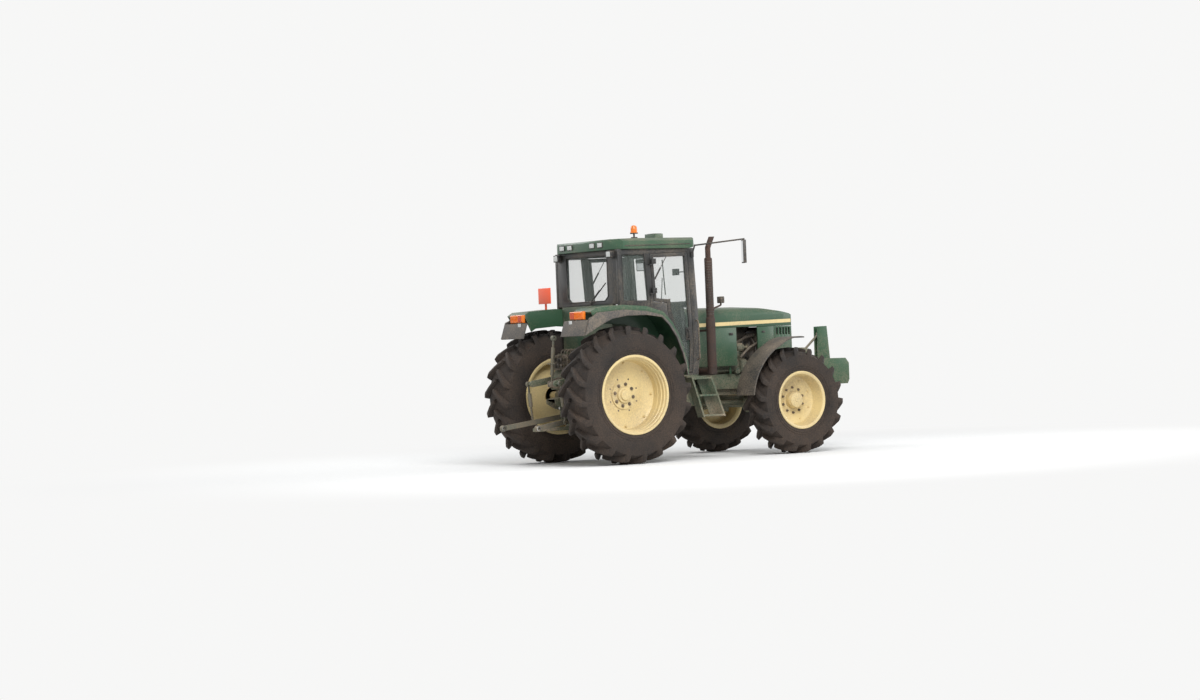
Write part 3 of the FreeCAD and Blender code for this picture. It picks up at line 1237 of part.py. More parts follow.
# Beacon, roof vent, work lamps and the warning panel
def beacon():
    x, y, z = 640.0, -300.0, 2907.0
    under = side_prism([(500, 2800), (500, 2905.4 + SEAT_GAP), (800, 2914.3 + SEAT_GAP), (800, 2800)], -500, 0)
    # columns: radius, lower end, upper end, flats
    parts = []
    for radius, low, high, flats in ((45, -6, 26, 12), (10, 16, 80, 8), (50, 72, 90, 12), (44, 88, 158, 12),
                                     (32, 150, 180, 12)):
        parts.append(flat_bar((x, y, z + low), (x, y, z + high), radius, flats))
    return fuse(parts).cut(under)


save("beacon", beacon())


def work_lamps():
    """Lamps on the rear posts and under the front edge of the roof, on one side."""
    rear = box(0, CAB_REAR - SEAT_GAP, 585, 695, 2655, 2745)
    front = box(1253.7, 1306, 590, 690, 2690, 2755)
    return Part.makeCompound([rear, front])


lamp_x, lamp_y, lamp_z = EXHAUST_LAMP
hood_lamp = box(lamp_x - 30, lamp_x + 30, lamp_y - 45, lamp_y + 45, lamp_z, lamp_z + 88)
save("work_lamps", Part.makeCompound([both_sides(work_lamps()), hood_lamp]))


def warning_panel():
    panel = box(-130, -118, 600, 900, 2110, 2320)
    stand = box(-118, -100, 735, 765, 2020, 2280)
    return fuse([panel, stand]).cut(side_prism(grown_fender(SEAT_GAP), 500, 1000))


save("warning_panel", warning_panel())


# Front linkage: arms and top link move as a parallelogram and carry the ballast block
FRONT_LOW = (FRONT_PIVOT[0] + FRONT_LINK[0], FRONT_PIVOT[1] + FRONT_LINK[1])
FRONT_HIGH = (FRONT_TOP_PIN[0] + FRONT_LINK[0], FRONT_TOP_PIN[1] + FRONT_LINK[1])


def front_arms():
    parts = []
    y = FRONT_ARM_Y
    for side in (-1, 1):
        span = sorted((side * (y - FRONT_ARM_T / 2), side * (y + FRONT_ARM_T / 2)))
        parts.append(link_plate(FRONT_PIVOT, FRONT_LOW, 34, span[0], span[1]))
        pin = sorted((side * (y - 5), side * (y + 50)))
        parts.append(cross_pin(FRONT_LOW[0], FRONT_LOW[1], FRONT_PIN_R, pin[0], pin[1]))
    mid = (FRONT_PIVOT[0] + FRONT_LINK[0] * 0.45, FRONT_PIVOT[1] + FRONT_LINK[1] * 0.45)
    parts.append(flat_bar((mid[0], -y, mid[1]), (mid[0], y, mid[1]), 24))
    body = fuse(parts)
    return body.cut(cross_pin(FRONT_PIVOT[0], FRONT_PIVOT[1], FRONT_PIN_R + PIN_GAP, -400, 400))


def front_top_link():
    a = FRONT_TOP_PIN
    b = FRONT_HIGH
    bar = flat_bar((a[0], 0, a[1]), (b[0], 0, b[1]), 17)
    ends = [boss(a[0], a[1], 32, -20, 20), boss(b[0], b[1], 32, -20, 20)]
    body = fuse([bar] + ends)
    body = body.cut(cross_pin(a[0], a[1], FRONT_PIN_R + PIN_GAP, -60, 60))
    return body.cut(cross_pin(b[0], b[1], FRONT_PIN_R + LOOSE_GAP, -60, 60))


def ballast_block():
    rear, front = BLOCK_REAR, BLOCK_FRONT
    low, top = BLOCK_BOTTOM, BLOCK_TOP
    block = side_prism([(rear, low), (front - 30, low), (front, low + 60), (front, top - 70), (front - 55, top),
                        (rear, top)], -BLOCK_HALF, BLOCK_HALF)
    parts = [block]
    mast = [(FRONT_HIGH[0] - 40, 1675), (FRONT_HIGH[0] + 120, 1680), (FRONT_HIGH[0] + 165, top - 60),
            (FRONT_HIGH[0] - 45, top - 5)]
    for side in (-1, 1):
        span = sorted((side * 26, side * 46))
        parts.append(side_prism(mast, span[0], span[1]))
        ear_y = sorted((side * (FRONT_ARM_Y + FRONT_ARM_T / 2 + 8), side * (FRONT_ARM_Y + FRONT_ARM_T / 2 + 28)))
        parts.append(side_prism([(rear + 5, FRONT_LOW[1] - 50), (rear + 5, FRONT_LOW[1] + 60),
                                 (FRONT_LOW[0] - 20, FRONT_LOW[1] + 34), (FRONT_LOW[0] - 34, FRONT_LOW[1]),
                                 (FRONT_LOW[0] - 20, FRONT_LOW[1] - 34)], ear_y[0], ear_y[1]))
    parts.append(box(FRONT_HIGH[0] + 60, FRONT_HIGH[0] + 80, -40, 40, top - 20, 1660))
    parts.append(cross_pin(FRONT_HIGH[0], FRONT_HIGH[1], FRONT_PIN_R, -36, 36))
    body = fuse(parts)
    return body.cut(cross_pin(FRONT_LOW[0], FRONT_LOW[1], FRONT_PIN_R + PIN_GAP, -500, 500))


save("front_arms", front_arms())
save("front_top_link", front_top_link())
save("ballast_block", ballast_block())
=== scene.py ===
import bpy
import bmesh
import json
import math
from mathutils import Matrix, Vector


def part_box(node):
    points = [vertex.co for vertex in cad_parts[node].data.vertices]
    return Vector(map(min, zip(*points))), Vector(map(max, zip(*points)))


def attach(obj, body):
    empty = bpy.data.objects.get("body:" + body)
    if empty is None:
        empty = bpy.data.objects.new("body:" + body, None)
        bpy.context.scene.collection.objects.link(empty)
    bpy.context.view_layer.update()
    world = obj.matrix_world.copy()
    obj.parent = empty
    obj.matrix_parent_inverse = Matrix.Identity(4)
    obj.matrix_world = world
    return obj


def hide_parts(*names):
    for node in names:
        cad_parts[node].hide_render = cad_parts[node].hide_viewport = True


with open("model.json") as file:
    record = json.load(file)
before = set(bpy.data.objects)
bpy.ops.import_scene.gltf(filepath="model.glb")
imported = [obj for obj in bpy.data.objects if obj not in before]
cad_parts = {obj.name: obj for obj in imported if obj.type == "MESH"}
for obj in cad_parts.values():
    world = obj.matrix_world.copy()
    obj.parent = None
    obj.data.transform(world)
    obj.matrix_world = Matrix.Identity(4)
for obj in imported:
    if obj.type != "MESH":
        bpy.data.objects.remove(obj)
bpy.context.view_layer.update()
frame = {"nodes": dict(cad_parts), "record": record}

# Wheels. Tyres are moulded rubber with a round crown, cleated lugs swept back from the centre and rings
# on the walls. Rims are dished steel pressings with rolled flanges, painted and bolted to cast hubs.
# Places are measured from the rear axle: x forward, y to the left, z up, in metres
REAR_AXLE = (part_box("rear_rim_left")[0].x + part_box("rear_rim_left")[1].x) / 2
slot_of = {row["node"]: row["material_slot"] for row in frame["record"]["subparts"]}
body_of = {node: body for body, nodes in frame["record"]["behaviour"]["bodies"].items() for node in nodes}
surfaces = {}


def at(x, y, z):
    return Vector((x + REAR_AXLE, y, z))


def dust_group():
    """Field dust: broad patches with a fine grain, thicker low down and on faces that look up."""
    group = bpy.data.node_groups.new("field_dust", "ShaderNodeTree")
    for label, value in (("Amount", 0.35), ("Low", 0.35), ("Grain", 55.0)):
        socket = group.interface.new_socket(label, in_out="INPUT", socket_type="NodeSocketFloat")
        socket.default_value = value
    for label in ("Mask", "Relief"):
        group.interface.new_socket(label, in_out="OUTPUT", socket_type="NodeSocketFloat")
    new, link = group.nodes.new, group.links.new
    given, result = new("NodeGroupInput"), new("NodeGroupOutput")
    place, facing = new("ShaderNodeTexCoord"), new("ShaderNodeNewGeometry")

    def maths(kind, a, b):
        node = new("ShaderNodeMath")
        node.operation = kind
        link(a, node.inputs[0])
        if isinstance(b, float):
            node.inputs[1].default_value = b
        else:
            link(b, node.inputs[1])
        return node.outputs[0]

    def spread(value, low, high, start, end):
        node = new("ShaderNodeMapRange")
        node.inputs["From Min"].default_value = low
        node.inputs["From Max"].default_value = high
        node.inputs["To Min"].default_value = start
        node.inputs["To Max"].default_value = end
        link(value, node.inputs["Value"])
        return node

    patches, grain = new("ShaderNodeTexNoise"), new("ShaderNodeTexNoise")
    patches.inputs["Scale"].default_value = 2.6
    patches.inputs["Detail"].default_value = 7.0
    grain.inputs["Detail"].default_value = 4.0
    link(given.outputs["Grain"], grain.inputs["Scale"])
    for noise in (patches, grain):
        link(place.outputs["Object"], noise.inputs["Vector"])
    where, up = new("ShaderNodeSeparateXYZ"), new("ShaderNodeSeparateXYZ")
    link(place.outputs["Object"], where.inputs["Vector"])
    link(facing.outputs["Normal"], up.inputs["Vector"])
    height = spread(where.outputs["Z"], 0.3, 1.7, 0.0, 0.0)
    link(given.outputs["Low"], height.inputs["To Min"])
    top = spread(up.outputs["Z"], 0.3, 1.0, 0.0, 0.22)
    amount = maths("ADD", maths("ADD", height.outputs[0], top.outputs[0]), given.outputs["Amount"])
    speckle = maths("MULTIPLY", patches.outputs["Fac"], grain.outputs["Fac"])
    mask = spread(maths("MULTIPLY", speckle, maths("ADD", amount, 0.25)), 0.10, 0.42, 0.0, 1.0)
    link(mask.outputs[0], result.inputs["Mask"])
    link(grain.outputs["Fac"], result.inputs["Relief"])
    return group


field_dust = dust_group()


def surface(name, colour, rough, dust=0.35, low=0.35, dust_colour=(0.30, 0.235, 0.165), grain=55.0, bump=0.05,
            metallic=0.0, coat=0.0):
    """Paint, casting, rubber or plastic under field dust, which also dulls it."""
    mat = bpy.data.materials.new(name)
    mat.use_nodes = True
    new, link = mat.node_tree.nodes.new, mat.node_tree.links.new
    shader = mat.node_tree.nodes["Principled BSDF"]
    shader.inputs["Metallic"].default_value = metallic
    shader.inputs["Coat Weight"].default_value = coat
    dusty = new("ShaderNodeGroup")
    dusty.node_tree = field_dust
    for label, value in (("Amount", dust), ("Low", low), ("Grain", grain)):
        dusty.inputs[label].default_value = value
    paint, dull = new("ShaderNodeMix"), new("ShaderNodeMapRange")
    paint.data_type = "RGBA"
    paint.inputs["A"].default_value = (*colour, 1.0)
    paint.inputs["B"].default_value = (*dust_colour, 1.0)
    dull.inputs["To Min"].default_value = rough
    dull.inputs["To Max"].default_value = 0.9
    link(dusty.outputs["Mask"], paint.inputs["Factor"])
    link(dusty.outputs["Mask"], dull.inputs["Value"])
    link(paint.outputs["Result"], shader.inputs["Base Color"])
    link(dull.outputs[0], shader.inputs["Roughness"])
    if bump:
        relief = new("ShaderNodeBump")
        relief.inputs["Strength"].default_value = bump
        relief.inputs["Distance"].default_value = 0.002
        link(dusty.outputs["Relief"], relief.inputs["Height"])
        link(relief.outputs["Normal"], shader.inputs["Normal"])
    surfaces[name] = mat
    return mat


def piece(name, bm, body, slot, *replaced, angle=32.0):
    """Turns a bmesh into a piece that rides on a body, smooth up to an angle."""
    mesh = bpy.data.meshes.new(name)
    bmesh.ops.recalc_face_normals(bm, faces=bm.faces)
    bm.to_mesh(mesh)
    bm.free()
    mesh.shade_smooth()
    mesh.set_sharp_from_angle(angle=math.radians(angle))
    obj = bpy.data.objects.new(name, mesh)
    bpy.context.scene.collection.objects.link(obj)
    mesh.materials.append(surfaces[slot])
    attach(obj, body)
    if replaced:
        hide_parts(*replaced)
    return obj


def turned(bm, start, axis, profile, steps=24):
    """Spins (along, radius) pairs about an axis that starts at a point, and closes the open ends."""
    before = set(bm.verts)
    axis = Vector(axis).normalized()
    out = axis.orthogonal().normalized()
    line = [bm.verts.new(at(*start) + axis * along + out * radius) for along, radius in profile]
    edges = [bm.edges.new(pair) for pair in zip(line, line[1:])]
    bmesh.ops.spin(bm, geom=line + edges, cent=at(*start), axis=axis, angle=2 * math.pi, steps=steps, use_merge=True)
    bmesh.ops.remove_doubles(bm, verts=[v for v in bm.verts if v not in before], dist=1e-6)
    rims = {e for v in bm.verts if v not in before for e in v.link_edges if e.is_boundary}
    bmesh.ops.holes_fill(bm, edges=list(rims), sides=steps)


def stud(bm, start, axis, radius, length, sides=8):
    """Straight round or six-sided bar from a point along an axis."""
    axis = Vector(axis).normalized()
    place = axis.to_track_quat("Z", "Y").to_matrix().to_4x4()
    place.translation = at(*start) + axis * (length / 2)
    bmesh.ops.create_cone(bm, cap_ends=True, segments=sides, radius1=radius, radius2=radius, depth=length,
                          matrix=place)


def joined(bm, rings, closed=False):
    """Bridges each ring of edges to the next, and fills the two ends."""
    for near, far in zip(rings, rings[1:] + (rings[:1] if closed else [])):
        bmesh.ops.bridge_loops(bm, edges=near + far)
    for end in () if closed else (rings[0], rings[-1]):
        bmesh.ops.edgeloop_fill(bm, edges=end)


def lofted(bm, sections):
    """Solid through outlines that are given as corners."""
    rings = []
    for section in sections:
        corners = [bm.verts.new(point) for point in section]
        rings.append([bm.edges.new(pair) for pair in zip(corners, corners[1:] + corners[:1])])
    joined(bm, rings)


def around(bm, item, centre, axis, count):
    """Repeats a small shape evenly round an axis, and adds all of them to bm."""
    bmesh.ops.spin(item, geom=item.verts[:] + item.edges[:] + item.faces[:], cent=centre, axis=axis,
                   angle=2 * math.pi * (count - 1) / count, steps=count - 1, use_duplicate=True)
    whole = bpy.data.meshes.new("repeated")
    item.to_mesh(whole)
    item.free()
    bm.from_mesh(whole)
    bpy.data.meshes.remove(whole)


def wheel_point(x, y, z, radius, angle):
    """Point on a circle about a wheel's axle."""
    return at(x + radius * math.sin(angle), y, z + radius * math.cos(angle))


def lug(x, y, z, radius, half, side, start, sweep):
    """One tread bar: sections of six corners from the middle of the tread out to the wall."""
    # columns: share across, root and crown below the tyre's radius, share of the sweep, half width at the crown
    stations = (
        (-0.05, 0.066, 0.004, -0.03, 0.021), (0.10, 0.066, 0.000, 0.08, 0.024), (0.45, 0.072, 0.003, 0.46, 0.026),
        (0.80, 0.084, 0.010, 0.84, 0.028), (0.93, 0.100, 0.024, 0.95, 0.028), (0.99, 0.130, 0.062, 1.0, 0.024),
        (1.005, 0.205, 0.112, 1.02, 0.018),
    )
    bm = bmesh.new()
    sections = []
    for share, root, crown, turn, width in stations:
        corners = ((root, -1.45), (crown + 0.006, -1.06), (crown, -0.86), (crown, 0.86), (crown + 0.006, 1.06),
                   (root, 1.45))
        sections.append([wheel_point(x, y + side * share * half, z, radius - depth,
                                     start - sweep * turn + grow * width / (radius - depth))
                         for depth, grow in corners])
    lofted(bm, sections)
    return bm


def tyre(name, body, x, y, radius, width, rim_radius, rim_width, lugs):
    half, bead = width / 2, rim_width / 2
    crown = radius - 0.050
    foot = rim_radius + 0.03
    span = crown - 0.055 - foot
    walls = [(bead, rim_radius - 0.026), (bead + 0.004, rim_radius + 0.008), (bead + 0.012, foot)]
    for share, out in ((0.16, 0.55), (0.34, 0.86), (0.55, 1.0), (0.74, 0.985), (0.88, 0.93), (0.97, 0.85)):
        walls.append((bead + 0.012 + (half - bead - 0.012) * out, foot + span * share))
    for share, drop in ((0.80, 0.040), (0.60, 0.022), (0.35, 0.008)):
        walls.append((half * share, crown - drop))
    profile = [(-w, r) for w, r in walls] + [(0.0, crown)] + walls[::-1]
    bm = bmesh.new()
    turned(bm, (x, y, radius), (0, 1, 0), profile + profile[:1], 144)
    for side in (-1, 1):
        for r, w in ((rim_radius + 0.045, 0.006), (rim_radius + 0.075, 0.004)):
            out = bead + 0.012 + (half - bead - 0.012) * min(1.0, 3.2 * (r - foot) / span)
            ring = [(out - 0.01, r - 0.007), (out + w, r - 0.003), (out + w, r + 0.003), (out - 0.01, r + 0.009)]
            turned(bm, (x, y, radius), (0, side, 0), ring + ring[:1], 96)
        step = 2 * math.pi / lugs
        start = (0.86 if side == 1 else 0.36) * step
        around(bm, lug(x, y, radius, radius, half, side, start, 0.74 * step), at(x, y, radius), (0, 1, 0), lugs)
    return piece(name, bm, body, "tyre", name, angle=38)


def bolts(bm, x, y, z, radius, count, size, length, side, turn=0.0):
    """Ring of six-sided bolt heads on washers, on a wheel's face that looks out to the side."""
    bolt = bmesh.new()
    spot = wheel_point(x, y, z, radius, turn)
    for r, low, high, sides in ((size * 1.45, 0.0, length * 0.18, 20), (size, length * 0.18, length * 0.75, 6),
                                (size * 0.55, length * 0.75, length, 12)):
        stud(bolt, (spot.x - REAR_AXLE, y + side * low, spot.z), (0, side, 0), r, high - low, sides)
    around(bm, bolt, at(x, y, z), (0, 1, 0), count)


surface("tyre", (0.011, 0.009, 0.008), 0.88, dust=0.40, dust_colour=(0.062, 0.041, 0.028), bump=0.4)
surface("rim_yellow", (0.66, 0.52, 0.25), 0.45, dust=0.26, low=0.16, coat=0.1)
surface("black_metal", (0.016, 0.016, 0.016), 0.6, dust=0.5)

# (across, radius) lines of the rims' barrels and discs, hubs and inner drums
REAR_BARREL = [
    (-0.242, 0.500), (-0.240, 0.511), (-0.232, 0.512), (-0.226, 0.506), (-0.222, 0.484), (-0.12, 0.470),
    (0.12, 0.466), (0.205, 0.480), (0.222, 0.486), (0.228, 0.506), (0.236, 0.512), (0.243, 0.508), (0.244, 0.494),
    (0.238, 0.479), (0.206, 0.474), (0.198, 0.462), (0.152, 0.459), (0.145, 0.450), (0.085, 0.448),
    (0.078, 0.443), (0.03, 0.442), (-0.010, 0.438), (-0.022, 0.424), (-0.030, 0.385), (-0.052, 0.335),
    (-0.056, 0.255), (-0.050, 0.236), (-0.050, 0.120), (-0.080, 0.120), (-0.080, 0.250), (-0.070, 0.340),
    (-0.052, 0.400), (-0.040, 0.440), (-0.22, 0.455), (-0.236, 0.478), (-0.242, 0.500),
]
REAR_HUB = [
    (-0.10, 0.120), (-0.046, 0.120), (-0.044, 0.178), (-0.036, 0.182), (-0.034, 0.108), (-0.012, 0.100),
    (-0.008, 0.076), (0.000, 0.070), (0.010, 0.066), (0.014, 0.040), (0.014, 0.0),
]
REAR_INNER = [(-0.355, 0.0), (-0.355, 0.0615), (-0.10, 0.0615), (-0.10, 0.125)]
FRONT_BARREL = [
    (-0.205, 0.374), (-0.203, 0.384), (-0.195, 0.385), (-0.189, 0.378), (-0.186, 0.357), (-0.10, 0.345),
    (0.10, 0.342), (0.170, 0.354), (0.186, 0.360), (0.191, 0.378), (0.198, 0.385), (0.205, 0.381), (0.206, 0.368),
    (0.194, 0.346), (0.12, 0.330), (0.04, 0.322), (0.016, 0.312), (0.004, 0.292), (-0.012, 0.244),
    (-0.016, 0.190), (-0.016, 0.090), (-0.036, 0.090), (-0.036, 0.240), (-0.016, 0.290), (-0.004, 0.318),
    (-0.18, 0.330), (-0.199, 0.352), (-0.205, 0.374),
]
FRONT_HUB = [
    (-0.040, 0.150), (-0.012, 0.150), (-0.008, 0.118), (0.052, 0.110), (0.058, 0.104), (0.084, 0.098),
    (0.090, 0.088), (0.091, 0.030), (0.097, 0.026), (0.097, 0.0),
]
FRONT_INNER = [(-0.133, 0.0455), (-0.133, 0.125), (-0.06, 0.125), (-0.045, 0.11), (-0.030, 0.11)]

for side, s in (("left", 1), ("right", -1)):
    rear, front = "rear_wheel_" + side, "front_wheel_" + side
    tyre("rear_tyre_" + side, rear, 0.0, s * 0.92, 0.885, 0.528, 0.508, 0.460, 20)
    tyre("front_tyre_" + side, front, 2.65, s * 0.945, 0.705, 0.430, 0.381, 0.386, 18)
    rims = {}
    # columns: name, x, y, z, then each turned line with its number of steps
    for name, x, y, z, lines in (
        ("rear_rim_", 0.0, s * 0.92, 0.885, ((REAR_BARREL, 128), (REAR_HUB, 64), (REAR_INNER, 48))),
        ("front_rim_", 2.65, s * 0.945, 0.705, ((FRONT_BARREL, 112), (FRONT_HUB, 64), (FRONT_INNER, 64))),
    ):
        rims[name] = bmesh.new()
        for line, steps in lines:
            turned(rims[name], (x, y, z), (0, s, 0), line, steps)
    bolts(rims["rear_rim_"], 0.0, s * 0.891, 0.885, 0.405, 8, 0.014, 0.024, s)
    bolts(rims["front_rim_"], 2.65, s * 0.929, 0.705, 0.270, 8, 0.013, 0.026, s, 0.39)
    bolts(rims["front_rim_"], 2.65, s * 1.001, 0.705, 0.088, 12, 0.0055, 0.010, s, 0.1)
    piece("rear_rim_" + side, rims["rear_rim_"], rear, "rim_yellow", "rear_rim_" + side)
    piece("front_rim_" + side, rims["front_rim_"], front, "rim_yellow", "front_rim_" + side)
    bm = bmesh.new()
    bolts(bm, 2.65, s * 0.929, 0.705, 0.168, 10, 0.012, 0.034, s)
    piece("front_hub_bolts_" + side, bm, front, "black_metal")
    bm = bmesh.new()
    bolts(bm, 0.0, s * 0.884, 0.885, 0.140, 8, 0.016, 0.032, s, 0.2)
    bolts(bm, 0.0, s * 0.870, 0.885, 0.215, 8, 0.008, 0.003, s, 0.4)
    piece("rear_hub_bolts_" + side, bm, rear, "black_metal")


# Frame, gearbox and front axle. Cast iron and thick plate, painted with the chassis, with edges broken
# by the casting or the grinder. The front fenders are moulded plastic, screwed to stays on the knuckles
def softened(node, width, segments, smooth):
    """Copy of a solid with its outer edges broken."""
    bm = bmesh.new()
    bm.from_mesh(frame["nodes"][node].data)
    bmesh.ops.remove_doubles(bm, verts=bm.verts, dist=2e-5)
    bmesh.ops.dissolve_limit(bm, angle_limit=math.radians(0.8), verts=bm.verts, edges=bm.edges)
    edges = [e for e in bm.edges if len(e.link_faces) == 2 and e.is_convex and e.calc_length() > 2.5 * width
             and e.calc_face_angle(0.0) > math.radians(38)]
    bmesh.ops.bevel(bm, geom=edges, offset=width, offset_type="OFFSET", segments=segments, profile=0.5,
                    affect="EDGES", clamp_overlap=True, material=-1)
    return piece(node, bm, body_of[node], slot_of[node], node, angle=smooth)


surface("chassis_green", (0.022, 0.060, 0.032), 0.58, dust=0.42)
surface("dark_grey_plastic", (0.027, 0.027, 0.026), 0.62, dust=0.26, bump=0.1)
# columns: node, width of the broken edge, segments, angle up to which it is smooth
for row in (
    ("frame_rails", 0.004, 2, 35), ("transmission_housing", 0.014, 2, 35), ("front_axle_beam", 0.008, 2, 35),
    ("knuckle_left", 0.006, 2, 35), ("knuckle_right", 0.006, 2, 35), ("tie_rod", 0.003, 2, 40),
    ("front_fender_left", 0.005, 2, 42), ("front_fender_right", 0.005, 2, 42),
):
    softened(*row)


# Engine bay, open between the frame and the side panels. Cast block with a sheet-metal air cleaner on
# top, a plastic fan in its shroud, belt drive, steel fuel lines, and water pipes clamped at both ends
def cuboid(bm, x0, x1, y0, y1, z0, z1):
    """Block between two corners."""
    low, high = at(x0, y0, z0), at(x1, y1, z1)
    bmesh.ops.create_cube(bm, size=1.0, matrix=Matrix.Translation((low + high) / 2)
                          @ Matrix.Diagonal((*(high - low), 1.0)))


def bent(points, radius, steps=5):
    """Line through points with each inner corner rounded."""
    line = [Vector(points[0])]
    for a, b, c in zip(points, points[1:], points[2:]):
        a, b, c = Vector(a), Vector(b), Vector(c)
        p, q = b + (a - b).normalized() * radius, b + (c - b).normalized() * radius
        line += [p.lerp(b, i / steps).lerp(b.lerp(q, i / steps), i / steps) for i in range(steps + 1)]
    return line + [Vector(points[-1])]


def tube(bm, line, radius, sides=12, closed=False):
    """Round bar or pipe: a circle square to the line at each of its points, all bridged."""
    rings, across = [], None
    for i, point in enumerate(line):
        before = line[i - 1] if i or closed else point
        after = line[(i + 1) % len(line)] if i + 1 < len(line) or closed else point
        along = (after - before).normalized()
        across = along.orthogonal() if across is None else across - along * across.dot(along)
        across.normalize()
        turn = Matrix((across, along.cross(across), along)).transposed().to_4x4()
        turn.translation = at(*point)
        circle = bmesh.ops.create_circle(bm, segments=sides, radius=radius, matrix=turn)["verts"]
        rings.append(list({e for v in circle for e in v.link_edges}))
    joined(bm, rings, closed)


surface("engine_green", (0.020, 0.046, 0.028), 0.62, dust=0.50, bump=0.25)
surface("black_plastic", (0.014, 0.014, 0.014), 0.5, dust=0.25)
surface("link_steel", (0.10, 0.115, 0.095), 0.55, metallic=0.6, dust=0.5)
softened("engine_block", 0.010, 2, 35)
softened("radiator", 0.006, 2, 35)
ducts, metal, pipes = bmesh.new(), bmesh.new(), bmesh.new()
turned(ducts, (1.90, -0.06, 1.615), (1, 0, 0), [
    (0, 0.02), (0.004, 0.088), (0.03, 0.098), (0.05, 0.104), (0.30, 0.104), (0.31, 0.109), (0.325, 0.109),
    (0.335, 0.104), (0.54, 0.104), (0.56, 0.095), (0.57, 0.03)], 36)
turned(ducts, (2.475, -0.06, 1.615), (0.55, 0, 0.83), [(0, 0.045), (0.10, 0.045), (0.11, 0.055), (0.13, 0.055)])
# columns: radius, sides, rounding of the corners, points
for radius, sides, corner, points in (
    (0.042, 18, 0.05, ((1.90, -0.06, 1.615), (1.80, -0.06, 1.615), (1.70, -0.14, 1.60), (1.62, -0.20, 1.46))),
    (0.028, 16, 0.05, ((2.36, -0.10, 1.49), (2.46, -0.13, 1.56), (2.62, -0.16, 1.60))),
    (0.028, 16, 0.05, ((2.40, 0.16, 1.00), (2.50, 0.22, 1.02), (2.62, 0.22, 1.16))),
    (0.016, 12, 0.06, ((2.30, -0.27, 1.30), (2.42, -0.30, 1.42), (2.62, -0.27, 1.50))),
):
    tube(pipes, bent(points, corner), radius, sides)
stud(metal, (2.38, -0.105, 1.51), (1, -0.1, 0.35), 0.031, 0.012, 20)
stud(metal, (2.585, -0.155, 1.592), (1, -0.1, 0.35), 0.031, 0.012, 20)
stud(metal, (1.885, -0.06, 1.615), (1, 0, 0), 0.045, 0.012, 20)
turned(metal, (2.26, -0.205, 1.43), (1, 0, 0), [
    (0, 0.03), (0.01, 0.055), (0.03, 0.062), (0.10, 0.062), (0.12, 0.05), (0.14, 0.02), (0.19, 0.02),
    (0.195, 0.038), (0.205, 0.034), (0.215, 0.038), (0.22, 0.03)], 28)
blade = bmesh.new()
lofted(blade, [[at(2.535 + d + t, w, 1.33 + r) for r, w, d in (
    (0.055, -0.03, -0.012), (0.055, 0.03, 0.012), (0.235, 0.055, 0.020), (0.235, -0.045, -0.020))]
    for t in (0.0, 0.004)])
around(ducts, blade, at(2.535, 0, 1.33), (1, 0, 0), 8)
shroud = [(0.014 * math.cos(k * math.pi / 4), 0.262 + 0.014 * math.sin(k * math.pi / 4)) for k in range(8)]
turned(ducts, (2.57, 0, 1.33), (1, 0, 0), shroud + shroud[:1], 48)
cuboid(ducts, 2.575, 2.618, -0.285, 0.285, 1.10, 1.115)
cuboid(ducts, 2.575, 2.618, -0.285, 0.285, 1.62, 1.635)
belt = []
# columns: pulley's y, z and radius, and where on it the belt lands and leaves, in degrees
for y, z, r, start, end in ((0.0, 1.08, 0.099, 180, 330), (0.0, 1.33, 0.064, -20, 40), (-0.205, 1.43, 0.042, 60, 190)):
    for k in range(9):
        a = math.radians(start + (end - start) * k / 8)
        belt.append(Vector((2.462, y + r * math.cos(a), z + r * math.sin(a))))
tube(ducts, belt, 0.007, 6, True)
for k in range(6):
    x = 1.56 + 0.14 * k
    tube(metal, bent([(x, 0.085, 1.50), (x + 0.01, 0.16, 1.53), (2.0 + 0.02 * k, 0.262, 1.44),
                      (2.0 + 0.02 * k, 0.262, 1.25)], 0.03), 0.004, 8)
    for y in (-0.082, 0.082):
        stud(metal, (x + 0.05, y, 1.499), (0, 0, 1), 0.012, 0.004, 12)
        stud(metal, (x + 0.05, y, 1.503), (0, 0, 1), 0.008, 0.008, 6)
cuboid(metal, 1.96, 2.14, 0.254, 0.315, 1.15, 1.26)
turned(metal, (1.62, 0.02, 1.499), (0, 0, 1), [(0, 0.035), (0.02, 0.035), (0.024, 0.028), (0.03, 0.01)], 20)
piece("engine_ducts", ducts, "tractor", "black_plastic")
piece("engine_fittings", metal, "tractor", "engine_green")
piece("water_pipes", pipes, "tractor", "black_metal", angle=60)


# Hood, side panels and nose. Pressed sheet steel in gloss paint, with a yellow stripe along both sides,
# wire mesh over a dark plate in the front slots, dark strips in the louvres with a dark sheet behind them,
# two headlamps and panel latches. The dark plate, strips and sheet are painted shade
def broken(bm, width, segments=2):
    """Breaks the sharp edges of what has been drawn so far."""
    edges = [e for e in bm.edges if len(e.link_faces) == 2 and e.calc_face_angle(0.0) > math.radians(40)]
    bmesh.ops.bevel(bm, geom=edges, offset=width, offset_type="OFFSET", segments=segments, profile=0.5,
                    affect="EDGES", clamp_overlap=True, material=-1)


def strip(bm, run, out):
    """Thin band on a flat side: run holds (x, y, low z, high z), and out is its thickness."""
    lofted(bm, [[at(x, y, low), at(x, y, high), at(x, y + out, high), at(x, y + out, low)]
                for x, y, low, high in run])


def lens(name, colour, rough, transmission):
    """Moulded lens with fine ribs in it."""
    mat = surface(name, colour, rough, dust=0.02, low=0.0, bump=0.0)
    new, link = mat.node_tree.nodes.new, mat.node_tree.links.new
    shader = mat.node_tree.nodes["Principled BSDF"]
    shader.inputs["Transmission Weight"].default_value = transmission
    place, ribs, relief = new("ShaderNodeTexCoord"), new("ShaderNodeTexWave"), new("ShaderNodeBump")
    ribs.bands_direction = "Y"
    ribs.inputs["Scale"].default_value = 32.0
    relief.inputs["Strength"].default_value = 0.35
    relief.inputs["Distance"].default_value = 0.002
    link(place.outputs["Object"], ribs.inputs["Vector"])
    link(ribs.outputs["Fac"], relief.inputs["Height"])
    link(relief.outputs["Normal"], shader.inputs["Normal"])


